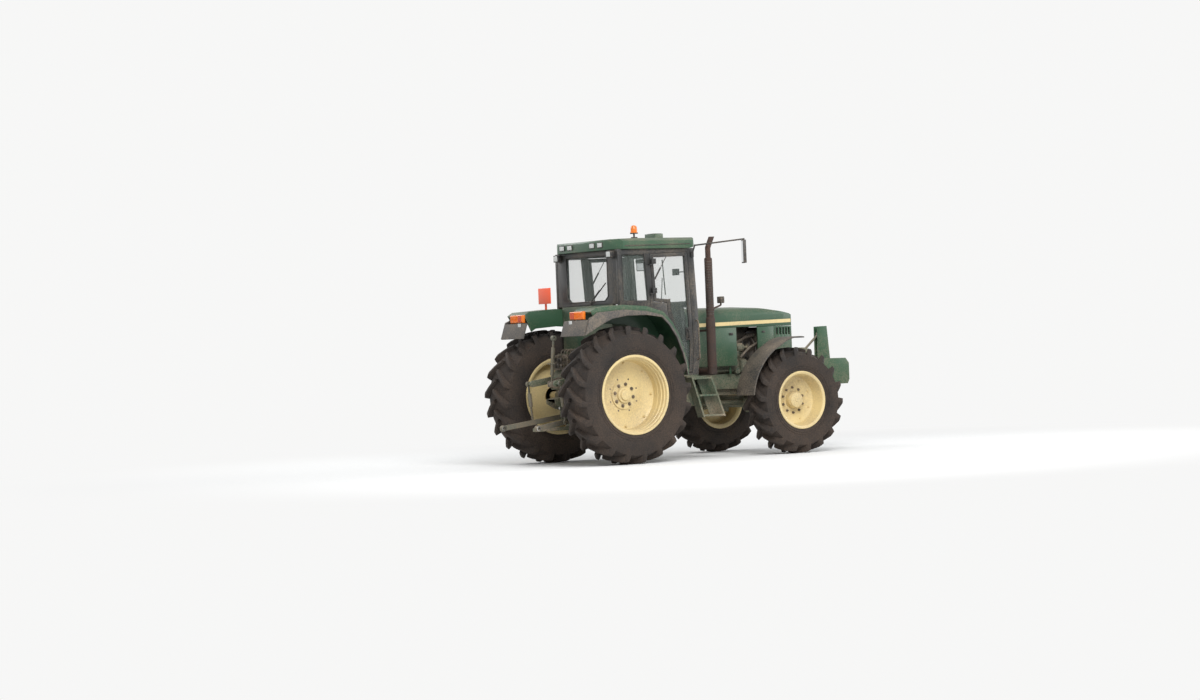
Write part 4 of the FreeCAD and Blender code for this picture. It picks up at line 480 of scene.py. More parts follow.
surface("body_green", (0.022, 0.066, 0.032), 0.44, dust=0.15, coat=0.12)
lens("clear_lens", (0.62, 0.64, 0.62), 0.12, 0.2)
for row in (("hood", 0.006, 3, 42), ("side_panels", 0.004, 2, 42), ("nose_grille", 0.003, 2, 42),
            ("cowl", 0.003, 2, 35)):
    softened(*row)
stripe, mesh_and_painted_shade, latches, bezels, lenses = (bmesh.new() for _ in range(5))
for s in (-1, 1):
    run = []
    for x, y in ((1.395, 0.3650), (2.70, 0.3650), (2.96, 0.3570), (3.115, 0.3326)):
        share = (x - 1.40) / 1.72
        run.append((x, s * y, 1.717 + 0.032 * share, 1.767 + 0.029 * share))
    strip(stripe, run, s * 0.0016)
    # dark sheet behind the louvres and dark strips in their slots: painted shade
    strip(mesh_and_painted_shade, [(x, s * y, 1.575, 1.69) for x, y in ((2.83, 0.322), (2.96, 0.318), (3.09, 0.296))], s * 0.003)
    for k in range(5):
        x, y = 2.844 + 0.054 * k, s * (0.352 - 0.012 * k * k / 6)
        cuboid(mesh_and_painted_shade, x + 0.013, x + 0.019, y - s * 0.014, y, 1.585, 1.680)
    cuboid(latches, 2.06, 2.12, s * 0.365, s * 0.374, 1.60, 1.632)
    cuboid(latches, 2.075, 2.105, s * 0.372, s * 0.379, 1.606, 1.626)
    cuboid(latches, 2.60, 2.65, s * 0.365, s * 0.372, 1.62, 1.645)
    cuboid(bezels, 3.150, 3.199, s * 0.095, s * 0.235, 1.585, 1.670)
    cuboid(lenses, 3.190, 3.203, s * 0.105, s * 0.225, 1.594, 1.661)
# solid dark plate behind the wire mesh of the front slots: painted shade, the wires on it are real
cuboid(mesh_and_painted_shade, 3.094, 3.098, -0.285, 0.285, 1.235, 1.635)
for k in range(39):
    cuboid(mesh_and_painted_shade, 3.098, 3.102, -0.285 + 0.015 * k, -0.282 + 0.015 * k, 1.235, 1.635)
for k in range(27):
    cuboid(mesh_and_painted_shade, 3.102, 3.106, -0.285, 0.285, 1.236 + 0.015 * k, 1.239 + 0.015 * k)
broken(latches, 0.002)
broken(bezels, 0.004)
broken(lenses, 0.003)
piece("hood_stripe", stripe, body_of["hood"], "rim_yellow")
piece("grille_mesh_and_painted_shade", mesh_and_painted_shade, "tractor", "black_plastic")
piece("panel_latches", latches, "tractor", "black_plastic")
piece("headlamp_bezels", bezels, "tractor", "black_plastic")
piece("headlamp_lenses", lenses, "tractor", "clear_lens")


# Exhaust. Welded sheet steel, rusted through its paint: silencer with end caps and clamps, a guard with
# rows of holes round the upper pipe, and a leaning tip sawn off level. A lamp's stalk is clamped to it
surface("rusty_steel", (0.024, 0.017, 0.014), 0.78, dust=0.42, dust_colour=(0.085, 0.038, 0.022))
PIPE_X, PIPE_Y, TIP_TOP = 1.585, -0.62, 2.91
bm = bmesh.new()
turned(bm, (PIPE_X, PIPE_Y, 2.766), (0.42, 0, 0.907), [
    (0, 0), (0, 0.036), (0.22, 0.036), (0.22, 0.032), (0.05, 0.032), (0.05, 0)], 32)
sawn = bmesh.ops.bisect_plane(bm, geom=bm.verts[:] + bm.edges[:] + bm.faces[:], plane_co=(0, 0, TIP_TOP),
                              plane_no=(0, 0, 1), clear_outer=True)["geom_cut"]
bmesh.ops.bridge_loops(bm, edges=[g for g in sawn if isinstance(g, bmesh.types.BMEdge)])
turned(bm, (PIPE_X, PIPE_Y, 1.085), (0, 0, 1), [
    (0, 0.03), (0.004, 0.055), (0.012, 0.062), (0.10, 0.062), (0.102, 0.0655), (0.122, 0.0655), (0.124, 0.062),
    (0.62, 0.062), (0.622, 0.0655), (0.642, 0.0655), (0.644, 0.062), (0.745, 0.062), (0.757, 0.056),
    (0.760, 0.052), (1.530, 0.052), (1.545, 0.047), (1.546, 0.036), (1.686, 0.036)], 40)
tube(bm, bent([(PIPE_X, PIPE_Y + 0.02, 1.13), (PIPE_X, -0.2553, 1.13)], 0.01), 0.042, 24)
cuboid(bm, PIPE_X - 0.012, PIPE_X + 0.012, PIPE_Y + 0.03, -0.3653, 1.66, 1.69)
tube(bm, bent([(PIPE_X + 0.015, PIPE_Y + 0.015, 1.945), (PIPE_X + 0.227, PIPE_Y + 0.07, 2.004),
               (PIPE_X + 0.227, PIPE_Y + 0.07, 2.0297)], 0.012), 0.012, 12)
turned(bm, (PIPE_X, PIPE_Y, 1.930), (0, 0, 1), [(0, 0.052), (0.001, 0.056), (0.030, 0.056), (0.031, 0.052)], 40)
piece("exhaust_stack", bm, "tractor", "rusty_steel", "exhaust_stack", angle=40)
# dark discs on the guard where its holes are: painted shade in the holes
bm = bmesh.new()
for row in range(21):
    for k in range(14):
        a = 2 * math.pi * (k + 0.5 * (row % 2)) / 14
        out = Vector((math.cos(a), math.sin(a), 0))
        stud(bm, Vector((PIPE_X, PIPE_Y, 1.89 + 0.0345 * row)) + out * 0.0505, out, 0.0085, 0.0022)
piece("guard_hole_shade", bm, "tractor", "black_plastic")


# Cab. Welded frame of folded steel in dark paint under a moulded roof, with panes bedded in rubber seals,
# wipers front and rear, and on each door a gas strut, hinge screws and a handle
def inset(outline, depth):
    """Closed outline moved towards its inside."""
    middle = sum((Vector(p) for p in outline), Vector((0, 0))) / len(outline)
    moved = []
    for a, b, c in zip(outline[-1:] + outline[:-1], outline, outline[1:] + outline[:1]):
        a, b, c = Vector(a), Vector(b), Vector(c)
        m, n = Vector((-(b - a).y, (b - a).x)).normalized(), Vector((-(c - b).y, (c - b).x)).normalized()
        if m.dot(middle - b) < 0:
            m, n = -m, -n
        moved.append(b + (m + n) * depth / (1 + m.dot(n)))
    return moved


def front_plane(z):
    """How far forward the front panes stand at a height: they lean from a crease at 1.485."""
    return 1.312 - (1.485 - z) * 0.13 if z < 1.485 else 1.312 - (z - 1.485) * 0.0486


surface("dark_frame", (0.018, 0.019, 0.019), 0.42, dust=0.22)
for row in (
    ("cab_roof", 0.014, 3, 40), ("cab_side_frame_left", 0.006, 2, 35), ("cab_side_frame_right", 0.006, 2, 35),
    ("cab_front_frame", 0.005, 2, 35), ("cab_rear_frame", 0.006, 2, 35), ("door_frame_left", 0.005, 2, 35),
    ("door_frame_right", 0.005, 2, 35), ("cab_body", 0.003, 2, 35),
):
    softened(*row)
seals, wipers, trim = bmesh.new(), bmesh.new(), bmesh.new()
for s in (-1, 1):
    window = inset(((0.130, 2.690), (0.482, 2.695), (0.524, 2.085), (0.128, 2.085)), 0.004)
    tube(seals, [Vector((x, s * 0.757, z)) for x, z in window], 0.007, 6, True)
    tube(seals, [Vector((front_plane(z), s * y, z)) for y, z in (
        (0.434, 1.264), (0.661, 1.264), (0.661, 1.485), (0.661, 1.986), (0.434, 1.986), (0.434, 1.485))],
         0.006, 6, True)
    tube(trim, bent([(0.03, s * 0.60, 2.795), (0.14, s * 0.803, 2.80), (1.20, s * 0.803, 2.815),
                     (1.30, s * 0.70, 2.81)], 0.05), 0.006, 8)
tube(seals, [Vector((0.072, y, z)) for y, z in ((-0.496, 2.162), (-0.418, 2.104), (0.418, 2.104), (0.496, 2.162),
                                               (0.496, 2.696), (-0.496, 2.696))], 0.008, 6, True)
tube(seals, [Vector((front_plane(z), y, z)) for y, z in ((-0.661, 2.064), (0.661, 2.064), (0.661, 2.686),
                                                        (-0.661, 2.686))], 0.008, 6, True)
for facing, arm, blade in (
    ((-1, 0, 0), ((0.048, -0.10, 2.085), (0.044, -0.33, 2.245)), ((0.060, -0.18, 2.145), (0.060, -0.465, 2.335))),
    ((1, 0, 0.05), ((1.300, 0.10, 2.045), (1.276, 0.02, 2.40)), ((1.284, -0.03, 2.17), (1.262, -0.015, 2.64))),
):
    tube(wipers, [Vector(p) for p in arm], 0.006, 8)
    tube(wipers, [Vector(p) for p in blade], 0.008, 4)
    turned(wipers, arm[0], facing, [(-0.03, 0.016), (0.004, 0.016), (0.008, 0.012)], 16)
cuboid(wipers, 0.122, 0.16, -0.19, -0.05, 2.055, 2.105)
for k in range(9):
    cuboid(trim, 1.105 + 0.014 * k, 1.110 + 0.014 * k, -0.082, 0.082, 2.984, 2.989)
    cuboid(trim, 1.2395, 1.2425, -0.085 + 0.019 * k, -0.077 + 0.019 * k, 2.925, 2.975)
piece("window_seals", seals, "tractor", "black_plastic", angle=60)
piece("wipers", wipers, "tractor", "black_plastic", angle=60)
piece("roof_trim", trim, "tractor", "black_plastic", angle=60)
opening = inset(((0.558, 2.700), (1.158, 2.715), (1.210, 1.485), (1.175, 1.128), (1.062, 1.128), (1.000, 1.400),
                 (0.960, 1.530), (0.885, 1.700), (0.812, 1.930), (0.806, 2.050), (0.600, 2.070)), 0.0535)
for s, side in ((-1, "right"), (1, "left")):
    bm = bmesh.new()
    tube(bm, [Vector((x, s * 0.757, z)) for x, z in opening], 0.007, 6, True)
    tube(bm, [Vector((0.640, s * 0.742, 2.36)), Vector((0.735, s * 0.742, 2.505))], 0.011, 12)
    tube(bm, [Vector((0.735, s * 0.742, 2.505)), Vector((0.845, s * 0.742, 2.672))], 0.005, 10)
    cuboid(bm, 1.085, 1.135, s * 0.758, s * 0.774, 1.56, 1.72)
    tube(bm, bent([(1.11, s * 0.765, 1.585), (1.11, s * 0.802, 1.60), (1.11, s * 0.802, 1.68),
                   (1.11, s * 0.765, 1.695)], 0.012), 0.009, 10)
    cuboid(bm, 1.096, 1.124, s * 0.770, s * 0.779, 1.565, 1.58)
    for z in (2.198, 2.232, 2.578, 2.612):
        turned(bm, (0.621, s * 0.8, z), (0, s, 0), [(0, 0.008), (0.005, 0.008), (0.006, 0.004)], 6)
    piece("door_fittings_" + side, bm, "door_" + side, "black_plastic", angle=50)


# Seat. Folding rubber bellows over the suspension, a pressed pan and a moulded back shell carry foam
# pads under woven black cloth, sewn in channels and edged with piping. The armrests are padded too
def pad(name, half, corner, crown, seams, turn, centre):
    """Crowned closed form: a block with round corners, its sides drawn in, its front swollen and sewn."""
    bm = bmesh.new()
    bmesh.ops.create_cube(bm, size=2.0)
    bmesh.ops.subdivide_edges(bm, edges=bm.edges[:], cuts=55, use_grid_fill=True)
    for v in bm.verts:
        share = v.co.copy()
        drawn = [half[i] * share[i] for i in range(3)]
        core = Vector([max(corner - half[i], min(half[i] - corner, drawn[i])) for i in range(3)])
        spot = core + (Vector(drawn) - core).normalized() * corner
        belly = (1 - share.x ** 2) * (1 - share.y ** 2)
        front = max(0.0, spot.z / half[2])
        spot.x *= 1 - 0.022 * (1 - share.y ** 2)
        spot.y *= 1 - 0.018 * (1 - share.x ** 2)
        spot.z += crown * belly * front
        for axis, place, low, high, depth in seams:
            if low - 0.004 <= spot[1 - axis] <= high + 0.004:
                spot.z -= depth * front * math.exp(-((spot[axis] - place) / 0.008) ** 2)
        v.co = spot
    place = Matrix(turn).transposed().to_4x4()
    place.translation = at(*centre)
    bmesh.ops.transform(bm, matrix=place, verts=bm.verts)
    obj = piece(name, bm, "tractor", "seat_fabric", "seat", angle=180)
    return place


def piping(bm, place, half, height):
    """Welt along the edge of a pad: a rounded rectangle of cord sewn into its seam."""
    line = []
    for k in range(32):
        a = 2 * math.pi * (k + 0.5) / 32
        corner = (half[0] - 0.030) * (1 if math.cos(a) > 0 else -1), (half[1] - 0.030) * (1 if math.sin(a) > 0 else -1)
        spot = place @ Vector((corner[0] + 0.0285 * math.cos(a), corner[1] + 0.0285 * math.sin(a), height))
        line.append(spot - at(0, 0, 0))
    tube(bm, line, 0.0035, 8, True)


cloth = surface("seat_fabric", (0.026, 0.026, 0.028), 0.92, dust=0.10, low=0.0, bump=0.0)
cloth_nodes, cloth_links = cloth.node_tree.nodes, cloth.node_tree.links
cloth_nodes["Principled BSDF"].inputs["Sheen Weight"].default_value = 0.25
thread_place, weave = cloth_nodes.new("ShaderNodeTexCoord"), cloth_nodes.new("ShaderNodeMath")
weave.operation = "MULTIPLY"
for i, direction in enumerate(("Y", "DIAGONAL")):
    threads = cloth_nodes.new("ShaderNodeTexWave")
    threads.bands_direction = direction
    threads.inputs["Scale"].default_value = 90.0
    threads.inputs["Distortion"].default_value = 0.6
    cloth_links.new(thread_place.outputs["Object"], threads.inputs["Vector"])
    cloth_links.new(threads.outputs["Fac"], weave.inputs[i])
raised = cloth_nodes.new("ShaderNodeBump")
raised.inputs["Strength"].default_value = 0.6
raised.inputs["Distance"].default_value = 0.001
cloth_links.new(weave.outputs[0], raised.inputs["Height"])
cloth_links.new(raised.outputs["Normal"], cloth_nodes["Principled BSDF"].inputs["Normal"])

LEAN = math.radians(8.8)
FLAT = ((0, 1, 0), (-1, 0, 0), (0, 0, 1))
UPRIGHT = ((0, 1, 0), (-math.sin(LEAN), 0, math.cos(LEAN)), (math.cos(LEAN), 0, math.sin(LEAN)))
# seams: axis that it cuts, place on that axis, its run on the other, depth
sewn_base = [(0, -0.145, -0.24, 0.24, 0.010), (0, 0.145, -0.24, 0.24, 0.010)]
sewn_base += [(1, place, -0.145, 0.145, 0.006) for place in (-0.10, 0.0, 0.10)]
sewn_back = [(0, -0.140, -0.16, 0.16, 0.010), (0, 0.140, -0.16, 0.16, 0.010), (1, 0.17, -0.24, 0.24, 0.012)]
sewn_back += [(1, place, -0.140, 0.140, 0.006) for place in (-0.12, -0.02, 0.08)]
welts = bmesh.new()
BASE_HALF, BACK_HALF = (0.236, 0.220, 0.052), (0.228, 0.300, 0.048)
base_place = pad("seat_cushion", BASE_HALF, 0.036, 0.010, sewn_base, FLAT, (0.565, 0, 1.508))
back_place = pad("seat_back", BACK_HALF, 0.034, 0.012, sewn_back, UPRIGHT, (0.295, 0, 1.796))
piping(welts, base_place, BASE_HALF, 0.022)
piping(welts, back_place, BACK_HALF, 0.018)
for s, side in ((-1, "right"), (1, "left")):
    pad("armrest_" + side, (0.030, 0.170, 0.024), 0.018, 0.003, [], FLAT, (0.470, s * 0.280, 1.725))
piece("seat_piping", welts, "tractor", "seat_fabric", angle=60)
bm = bmesh.new()
folds = []
FOLD_DEPTH, FOLD_CORNER = 0.022, 0.03
for k in range(13):
    x, y, z = 0.185 - FOLD_DEPTH * (k % 2), 0.160 - FOLD_DEPTH * (k % 2), 1.1405 + 0.0250 * k
    u, v = x - FOLD_CORNER, y - FOLD_CORNER
    folds.append([at(0.515 + dx, dy, z) for dx, dy in (
        (-x, -v), (-u, -y), (u, -y), (x, -v), (x, v), (u, y), (-u, y), (-x, v))])
lofted(bm, folds)
cuboid(bm, 0.345, 0.775, -0.225, 0.225, 1.440, 1.458)
lofted(bm, [[at(x, y, z) for x, z in ((0.250, 1.50), (0.180, 2.06), (0.195, 2.11), (0.222, 2.10), (0.214, 2.05),
                                     (0.290, 1.50), (0.330, 1.455), (0.285, 1.455))] for y in (-0.215, 0.215)])
for s in (-1, 1):
    cuboid(bm, 0.302, 0.343, s * 0.262, s * 0.298, 1.503, 1.708)
    cuboid(bm, 0.272, 0.338, s * 0.205, s * 0.290, 1.503, 1.558)
    turned(bm, (0.322, s * 0.298, 1.530), (0, s, 0), [(0, 0.022), (0.008, 0.022), (0.012, 0.016)], 24)
broken(bm, 0.004)
piece("seat_frame", bm, "tractor", "black_plastic", "seat", angle=40)


# Controls. Moulded plastic over steel: steering wheel on its column with the instrument pod, console with
# levers, three pedals, a screen on the front post and the inner mirror
surface("cab_plastic", (0.016, 0.016, 0.017), 0.5, dust=0.05, low=0.0)
FLOOR = 1.1403
bm = bmesh.new()
# columns: outline in side view, then the two sides: column, instrument pod and console
for outline, sides in (
    (((1.06, FLOOR), (1.16, FLOOR), (1.12, 1.78), (1.04, 1.83), (1.00, 1.78)), (-0.09, 0.09)),
    (((1.00, 1.76), (1.17, 1.73), (1.18, 1.86), (1.06, 1.90)), (-0.19, 0.19)),
    (((0.38, FLOOR), (0.90, FLOOR), (0.94, 1.56), (0.86, 1.64), (0.42, 1.66)), (-0.56, -0.37)),
):
    lofted(bm, [[at(x, y, z) for x, z in outline] for y in sides])
broken(bm, 0.012, 3)
tilt = Vector((-0.5, 0, 0.866))
centre = Vector((1.04, 0, 1.84)) + tilt * 0.15
down = tilt.cross(Vector((0, 1, 0)))
grip = [(0.0135 * math.cos(k * math.pi / 5), 0.19 + 0.0135 * math.sin(k * math.pi / 5)) for k in range(10)]
turned(bm, centre, tilt, grip + grip[:1], 48)
for k in range(3):
    a = math.radians(90 + 120 * k)
    tube(bm, [centre - tilt * 0.01, centre + Vector((0, 0.185 * math.cos(a), 0)) + down * 0.185 * math.sin(a)],
         0.010, 10)
tube(bm, [centre - tilt * 0.15, centre - tilt * 0.012], 0.022, 20)
turned(bm, centre - tilt * 0.02, tilt, [(0, 0.03), (0.004, 0.042), (0.018, 0.042), (0.024, 0.034)])
for k in range(3):
    root, top = Vector((0.56 + 0.09 * k, -0.465, 1.63)), Vector((0.59 + 0.09 * k, -0.465, 1.745))
    tube(bm, [root, top], 0.006, 8)
    knob = [(0, 0.008), (0.006, 0.015), (0.024, 0.017), (0.034, 0.010)]
    turned(bm, top - Vector((0, 0, 0.012)), top - root, knob, 16)
for y in (-0.16, -0.24, 0.17):
    tube(bm, bent([(1.11, y, 1.40), (1.05, y, 1.26), (1.00, y, 1.20)], 0.03), 0.008, 8)
    cuboid(bm, 0.990, 1.005, y - 0.03, y + 0.03, 1.160, 1.235)
piece("controls", bm, "tractor", "cab_plastic", "controls", angle=40)
bm = bmesh.new()
cuboid(bm, 1.052, 1.082, -0.675, -0.545, 2.41, 2.495)
cuboid(bm, 0.95, 0.975, -0.16, 0.16, 2.60, 2.655)
cuboid(bm, 1.085, 1.10, -0.30, -0.20, 1.93, 2.03)
broken(bm, 0.005)
tube(bm, [Vector((1.08, -0.61, 2.452)), Vector((1.19, -0.70, 2.452))], 0.007, 8)
tube(bm, [Vector((0.965, 0, 2.64)), Vector((1.0, 0, 2.765))], 0.007, 8)
tube(bm, bent([(1.10, -0.25, 1.97), (1.13, -0.25, 1.93), (1.13, -0.17, 1.86)], 0.02), 0.007, 8)
piece("cab_screen", bm, "tractor", "cab_plastic")


# Rear fenders, lamps and mirrors. Fenders are pressed steel with rubber flares and mud flaps. Lamps are
# moulded boxes with ribbed lenses, screwed to the roof and fenders. Mirrors stand on bent tubes
surface("grey_rubber", (0.060, 0.057, 0.054), 0.75, dust=0.26, bump=0.1)
surface("orange_plastic", (0.82, 0.10, 0.03), 0.35, dust=0.08, low=0.0)
surface("mirror_glass", (0.55, 0.57, 0.58), 0.04, metallic=1.0, dust=0.02, low=0.0, bump=0.0)
lens("amber_plastic", (0.88, 0.22, 0.02), 0.18, 0.25)
lens("red_lens", (0.45, 0.012, 0.010), 0.2, 0.1)
for row in (
    ("rear_fender_left", 0.008, 3, 42), ("rear_fender_right", 0.008, 3, 42), ("fender_flares", 0.006, 3, 42),
    ("rear_lamps", 0.004, 2, 35), ("work_lamps", 0.006, 2, 35), ("warning_panel", 0.003, 2, 35),
    ("mirrors", 0.010, 3, 50),
):
    softened(*row)
bezels, lenses, ribs, panes, red = (bmesh.new() for _ in range(5))
for s in (-1, 1):
    for y in (0.27, 0.46):
        cuboid(bezels, -0.010, 0.012, s * (y - 0.062), s * (y + 0.062), 2.790, 2.862)
        cuboid(lenses, -0.014, 0.004, s * (y - 0.050), s * (y + 0.050), 2.799, 2.853)
    cuboid(lenses, -0.004, 0.02, s * 0.597, s * 0.683, 2.667, 2.733)
    cuboid(lenses, 1.30, 1.3095, s * 0.602, s * 0.678, 2.700, 2.745)
    cuboid(bezels, -0.604, -0.548, s * 0.585, s * 0.672, 1.792, 1.864)
    cuboid(lenses, -0.609, -0.59, s * 0.592, s * 0.665, 1.799, 1.857)
    cuboid(red, -0.5885, -0.586, s * 0.606, s * 0.690, 1.880, 1.960)
    for k in range(10):
        cuboid(ribs, -0.5905, -0.584, s * (0.60 + 0.03 * k), s * (0.606 + 0.03 * k), 1.884, 1.956)
    toed = math.radians(28)
    middle = at(1.760, s * 1.190, 2.685) + Vector((-math.cos(toed), -math.sin(toed) * s, 0)) * 0.0215
    bmesh.ops.create_cube(panes, size=1.0, matrix=Matrix.Translation(middle)
                          @ Matrix.Rotation(toed * s, 4, "Z") @ Matrix.Diagonal((0.002, 0.166, 0.276, 1)))
cuboid(lenses, 1.838, 1.848, -0.588, -0.512, 2.038, 2.110)
for bm in (bezels, lenses):
    broken(bm, 0.003)
piece("lamp_bezels", bezels, "tractor", "black_plastic")
piece("lamp_lenses", lenses, "tractor", "clear_lens")
piece("rear_lamp_ribs", ribs, "tractor", "amber_plastic")
piece("tail_lenses", red, "tractor", "red_lens")
piece("mirror_glass", panes, "tractor", "mirror_glass")
bm = bmesh.new()
turned(bm, (0.64, -0.30, 2.9785), (0, 0, 1), [
    (0, 0.03), (0.0005, 0.050), (0.018, 0.050), (0.019, 0.044), (0.020, 0.043), (0.060, 0.0425), (0.085, 0.040),
    (0.098, 0.033), (0.106, 0.020), (0.109, 0.006)], 40)
piece("beacon_dome", bm, "tractor", "amber_plastic", "beacon")
bm = bmesh.new()
turned(bm, (0.64, -0.30, 2.896), (0, 0, 1), [
    (0, 0.045), (0.033, 0.045), (0.037, 0.040), (0.037, 0.012), (0.083, 0.012)], 32)
turned(bm, (0.64, -0.30, 2.975), (0, 0, 1), [(0, 0.012), (0.001, 0.052), (0.012, 0.053), (0.014, 0.047)], 40)
piece("beacon_foot", bm, "tractor", "black_plastic")


# Rear hitch. Forged links with pressed-in balls, on pins with lynch pins; lift rods and top link are cut
# with coarse threads. Valves have steel couplers with plastic caps, and painted oil pipes lead to them
surface("bare_steel", (0.42, 0.41, 0.39), 0.35, metallic=1.0, dust=0.15, low=0.1)
for row in (
    ("hitch_frame", 0.004, 2, 35), ("lift_arms", 0.005, 2, 35), ("lift_rods", 0.003, 2, 40),
    ("lower_links", 0.004, 2, 35), ("top_link", 0.003, 2, 40), ("remote_valves", 0.004, 2, 35),
):
    softened(*row)


def thread(bm, start, end, radius, depth, pitch=0.006):
    """Coarse screw thread on a bar, as ridges."""
    start, end = Vector(start), Vector(end)
    profile = []
    for k in range(int((end - start).length / pitch)):
        profile += [(k * pitch, radius), ((k + 0.5) * pitch, radius + depth)]
    turned(bm, start, end - start, profile + [(profile[-1][0] + pitch / 2, radius)], 16)


ARM_END, ROD_END = Vector((-0.6461, 0, 1.0643)), Vector((-0.5961, 0, 0.5643))
LINK_END = Vector((-1.0318, 0, 0.5031))
TOP_LOW, TOP_HIGH = Vector((-0.530, 0, 1.050)), Vector((-0.4777, 0, 1.6477))
metal, pipes, dark, threads, screw, eyes = (bmesh.new() for _ in range(6))
for share in (0.09, 0.81):
    thread(screw, TOP_LOW.lerp(TOP_HIGH, share), TOP_LOW.lerp(TOP_HIGH, share + 0.10), 0.0152, 0.002)
tube(screw, [TOP_LOW.lerp(TOP_HIGH, 0.45) + Vector((-0.024, y, 0)) for y in (-0.09, 0.09)], 0.006, 10)
for k, y in enumerate((-0.110, -0.037, 0.037, 0.110)):
    for z in (1.29, 1.37):
        turned(dark, (-0.430, y, z), (-1, 0, 0), [(0, 0.021), (0.003, 0.026), (0.022, 0.026), (0.026, 0.020),
                                                 (0.030, 0.008)], 16)
        stud(metal, (-0.405, y, z), (-1, 0, 0), 0.0235, 0.012, 16)
    tube(pipes, bent([(-0.30, y, 1.425), (-0.30, y, 1.47), (-0.24, y * 1.2, 1.50), (-0.12, y * 1.3, 1.46),
                      (-0.06, y * 1.3, 1.30)], 0.03), 0.0095, 10)
    cuboid(metal, -0.345, -0.315, y - 0.014, y + 0.014, 1.43, 1.446)
for s in (-1, 1):
    y = s * 0.3989
    thread(threads, ARM_END.lerp(ROD_END, 0.62) + Vector((0, y, 0)), ARM_END.lerp(ROD_END, 0.90) + Vector((0, y, 0)),
           0.0142, 0.002)
    bushing = [(-0.001, 0.033), (0.003, 0.033), (0.004, 0.030), (0.004, 0.0200), (-0.001, 0.0190)]
    turned(eyes, (LINK_END.x, s * 0.455, LINK_END.z), (0, s, 0), bushing + bushing[:1], 32)
    turned(eyes, (LINK_END.x, s * 0.405, LINK_END.z), (0, -s, 0), bushing + bushing[:1], 32)
    stud(eyes, (ROD_END.x, s * 0.4175, ROD_END.z), (0, s, 0), 0.021, 0.004, 20)
    tube(pipes, bent([(-0.25, s * 0.16, 1.33), (-0.30, s * 0.20, 1.33), (-0.33, s * 0.235, 1.20),
                      (-0.24, s * 0.25, 1.05), (-0.16, s * 0.235, 0.93)], 0.05), 0.010, 10)
    flange = bmesh.new()
    stud(flange, (0.165, s * 0.4305, 0.885), (0, s, 0), 0.014, 0.003, 20)
    stud(flange, (0.165, s * 0.4335, 0.885), (0, s, 0), 0.010, 0.010, 6)
    around(metal, flange, at(0, s * 0.43, 0.885), (0, 1, 0), 12)
    for dx, dz in ((0.10, 0.045), (0.16, 0.055), (-0.01, 0.030), (0.04, -0.015)):
        stud(metal, (-0.200 + dx, s * 0.2745, 0.620 + dz), (0, s, 0), 0.009, 0.007, 6)
cover = bmesh.new()
stud(cover, (-0.298, 0.09, 0.740), (-1, 0, 0), 0.009, 0.008, 6)
around(metal, cover, at(-0.298, 0, 0.740), (1, 0, 0), 6)
splines = bmesh.new()
cuboid(splines, -0.4295, -0.335, -0.004, 0.004, 0.740 + 0.0165, 0.740 + 0.0195)
turning = bmesh.new()
around(turning, splines, at(-0.38, 0, 0.740), (1, 0, 0), 6)
piece("rear_fittings", metal, "tractor", "link_steel")
piece("oil_pipes", pipes, "tractor", "black_metal", angle=60)
piece("coupler_caps", dark, "tractor", "black_plastic")
piece("shaft_splines", turning, body_of["pto_shaft"], "bare_steel")
piece("top_link_thread", screw, body_of["top_link"], "link_steel", angle=20)
piece("lift_rod_threads", threads, body_of["lift_rods"], "link_steel", angle=20)
piece("link_bushings", eyes, body_of["lower_links"], "bare_steel")


# Ladders, tank and tool box. Folded plate treads with punched holes, bent hand rails, a moulded tank in
# steel straps and a steel box with a hinged lid and a latch
for row in (("fuel_tank", 0.012, 3, 45), ("tool_box", 0.008, 2, 35), ("ladders", 0.002, 1, 35)):
    softened(*row)
dark, rails, metal = bmesh.new(), bmesh.new(), bmesh.new()
for s in (-1, 1):
    # dark discs on the treads where the punched holes are: painted shade in the holes; the tank's filler cap below is
    # real
    for z, x0 in ((1.065, 1.060), (0.840, 1.160), (0.575, 1.230)):
        for i in range(9):
            for j in range(4):
                stud(dark, (x0 + 0.034 + 0.029 * i, s * (0.788 + 0.032 * j), z - 0.002), (0, 0, 1), 0.0085, 0.0028)
    tube(rails, bent([(1.268, s * 0.758, 1.30), (1.268, s * 0.800, 1.31), (1.262, s * 0.800, 1.80),
                      (1.262, s * 0.758, 1.81)], 0.025), 0.011, 12)
for x in (1.12, 1.52):
    cuboid(rails, x, x + 0.03, 0.295, 0.706, 0.634, 0.640)
    cuboid(rails, x, x + 0.03, 0.7002, 0.7045, 0.685, 0.975)
turned(dark, (1.650, 0.560, 1.048), (0, 0, 1), [(0, 0.046), (0.004, 0.050), (0.022, 0.050), (0.028, 0.040)], 28)
stud(metal, (1.34, 0.50, 0.6405), (0, 0, -1), 0.016, 0.008, 20)
stud(metal, (1.34, 0.50, 0.6325), (0, 0, -1), 0.011, 0.008, 6)
for x in (1.08, 1.38):
    stud(metal, (x - 0.03, -0.7125, 0.986), (1, 0, 0), 0.006, 0.06, 12)
cuboid(metal, 1.205, 1.255, -0.7165, -0.7115, 0.955, 1.010)
piece("tread_hole_shade_and_tank_cap", dark, "tractor", "black_plastic")
piece("hand_rails", rails, "tractor", "black_metal", angle=50)
piece("box_fittings", metal, "tractor", "bare_steel")


# Front linkage and ballast. Plate arms on a pin under the nose carry a cast-iron block in bright paint,
# held at the top by a short steel link
surface("block_green", (0.014, 0.062, 0.023), 0.5, dust=0.15)
for row in (("front_arms", 0.003, 2, 35), ("front_top_link", 0.003, 2, 40), ("ballast_block", 0.008, 2, 35)):
    softened(*row)


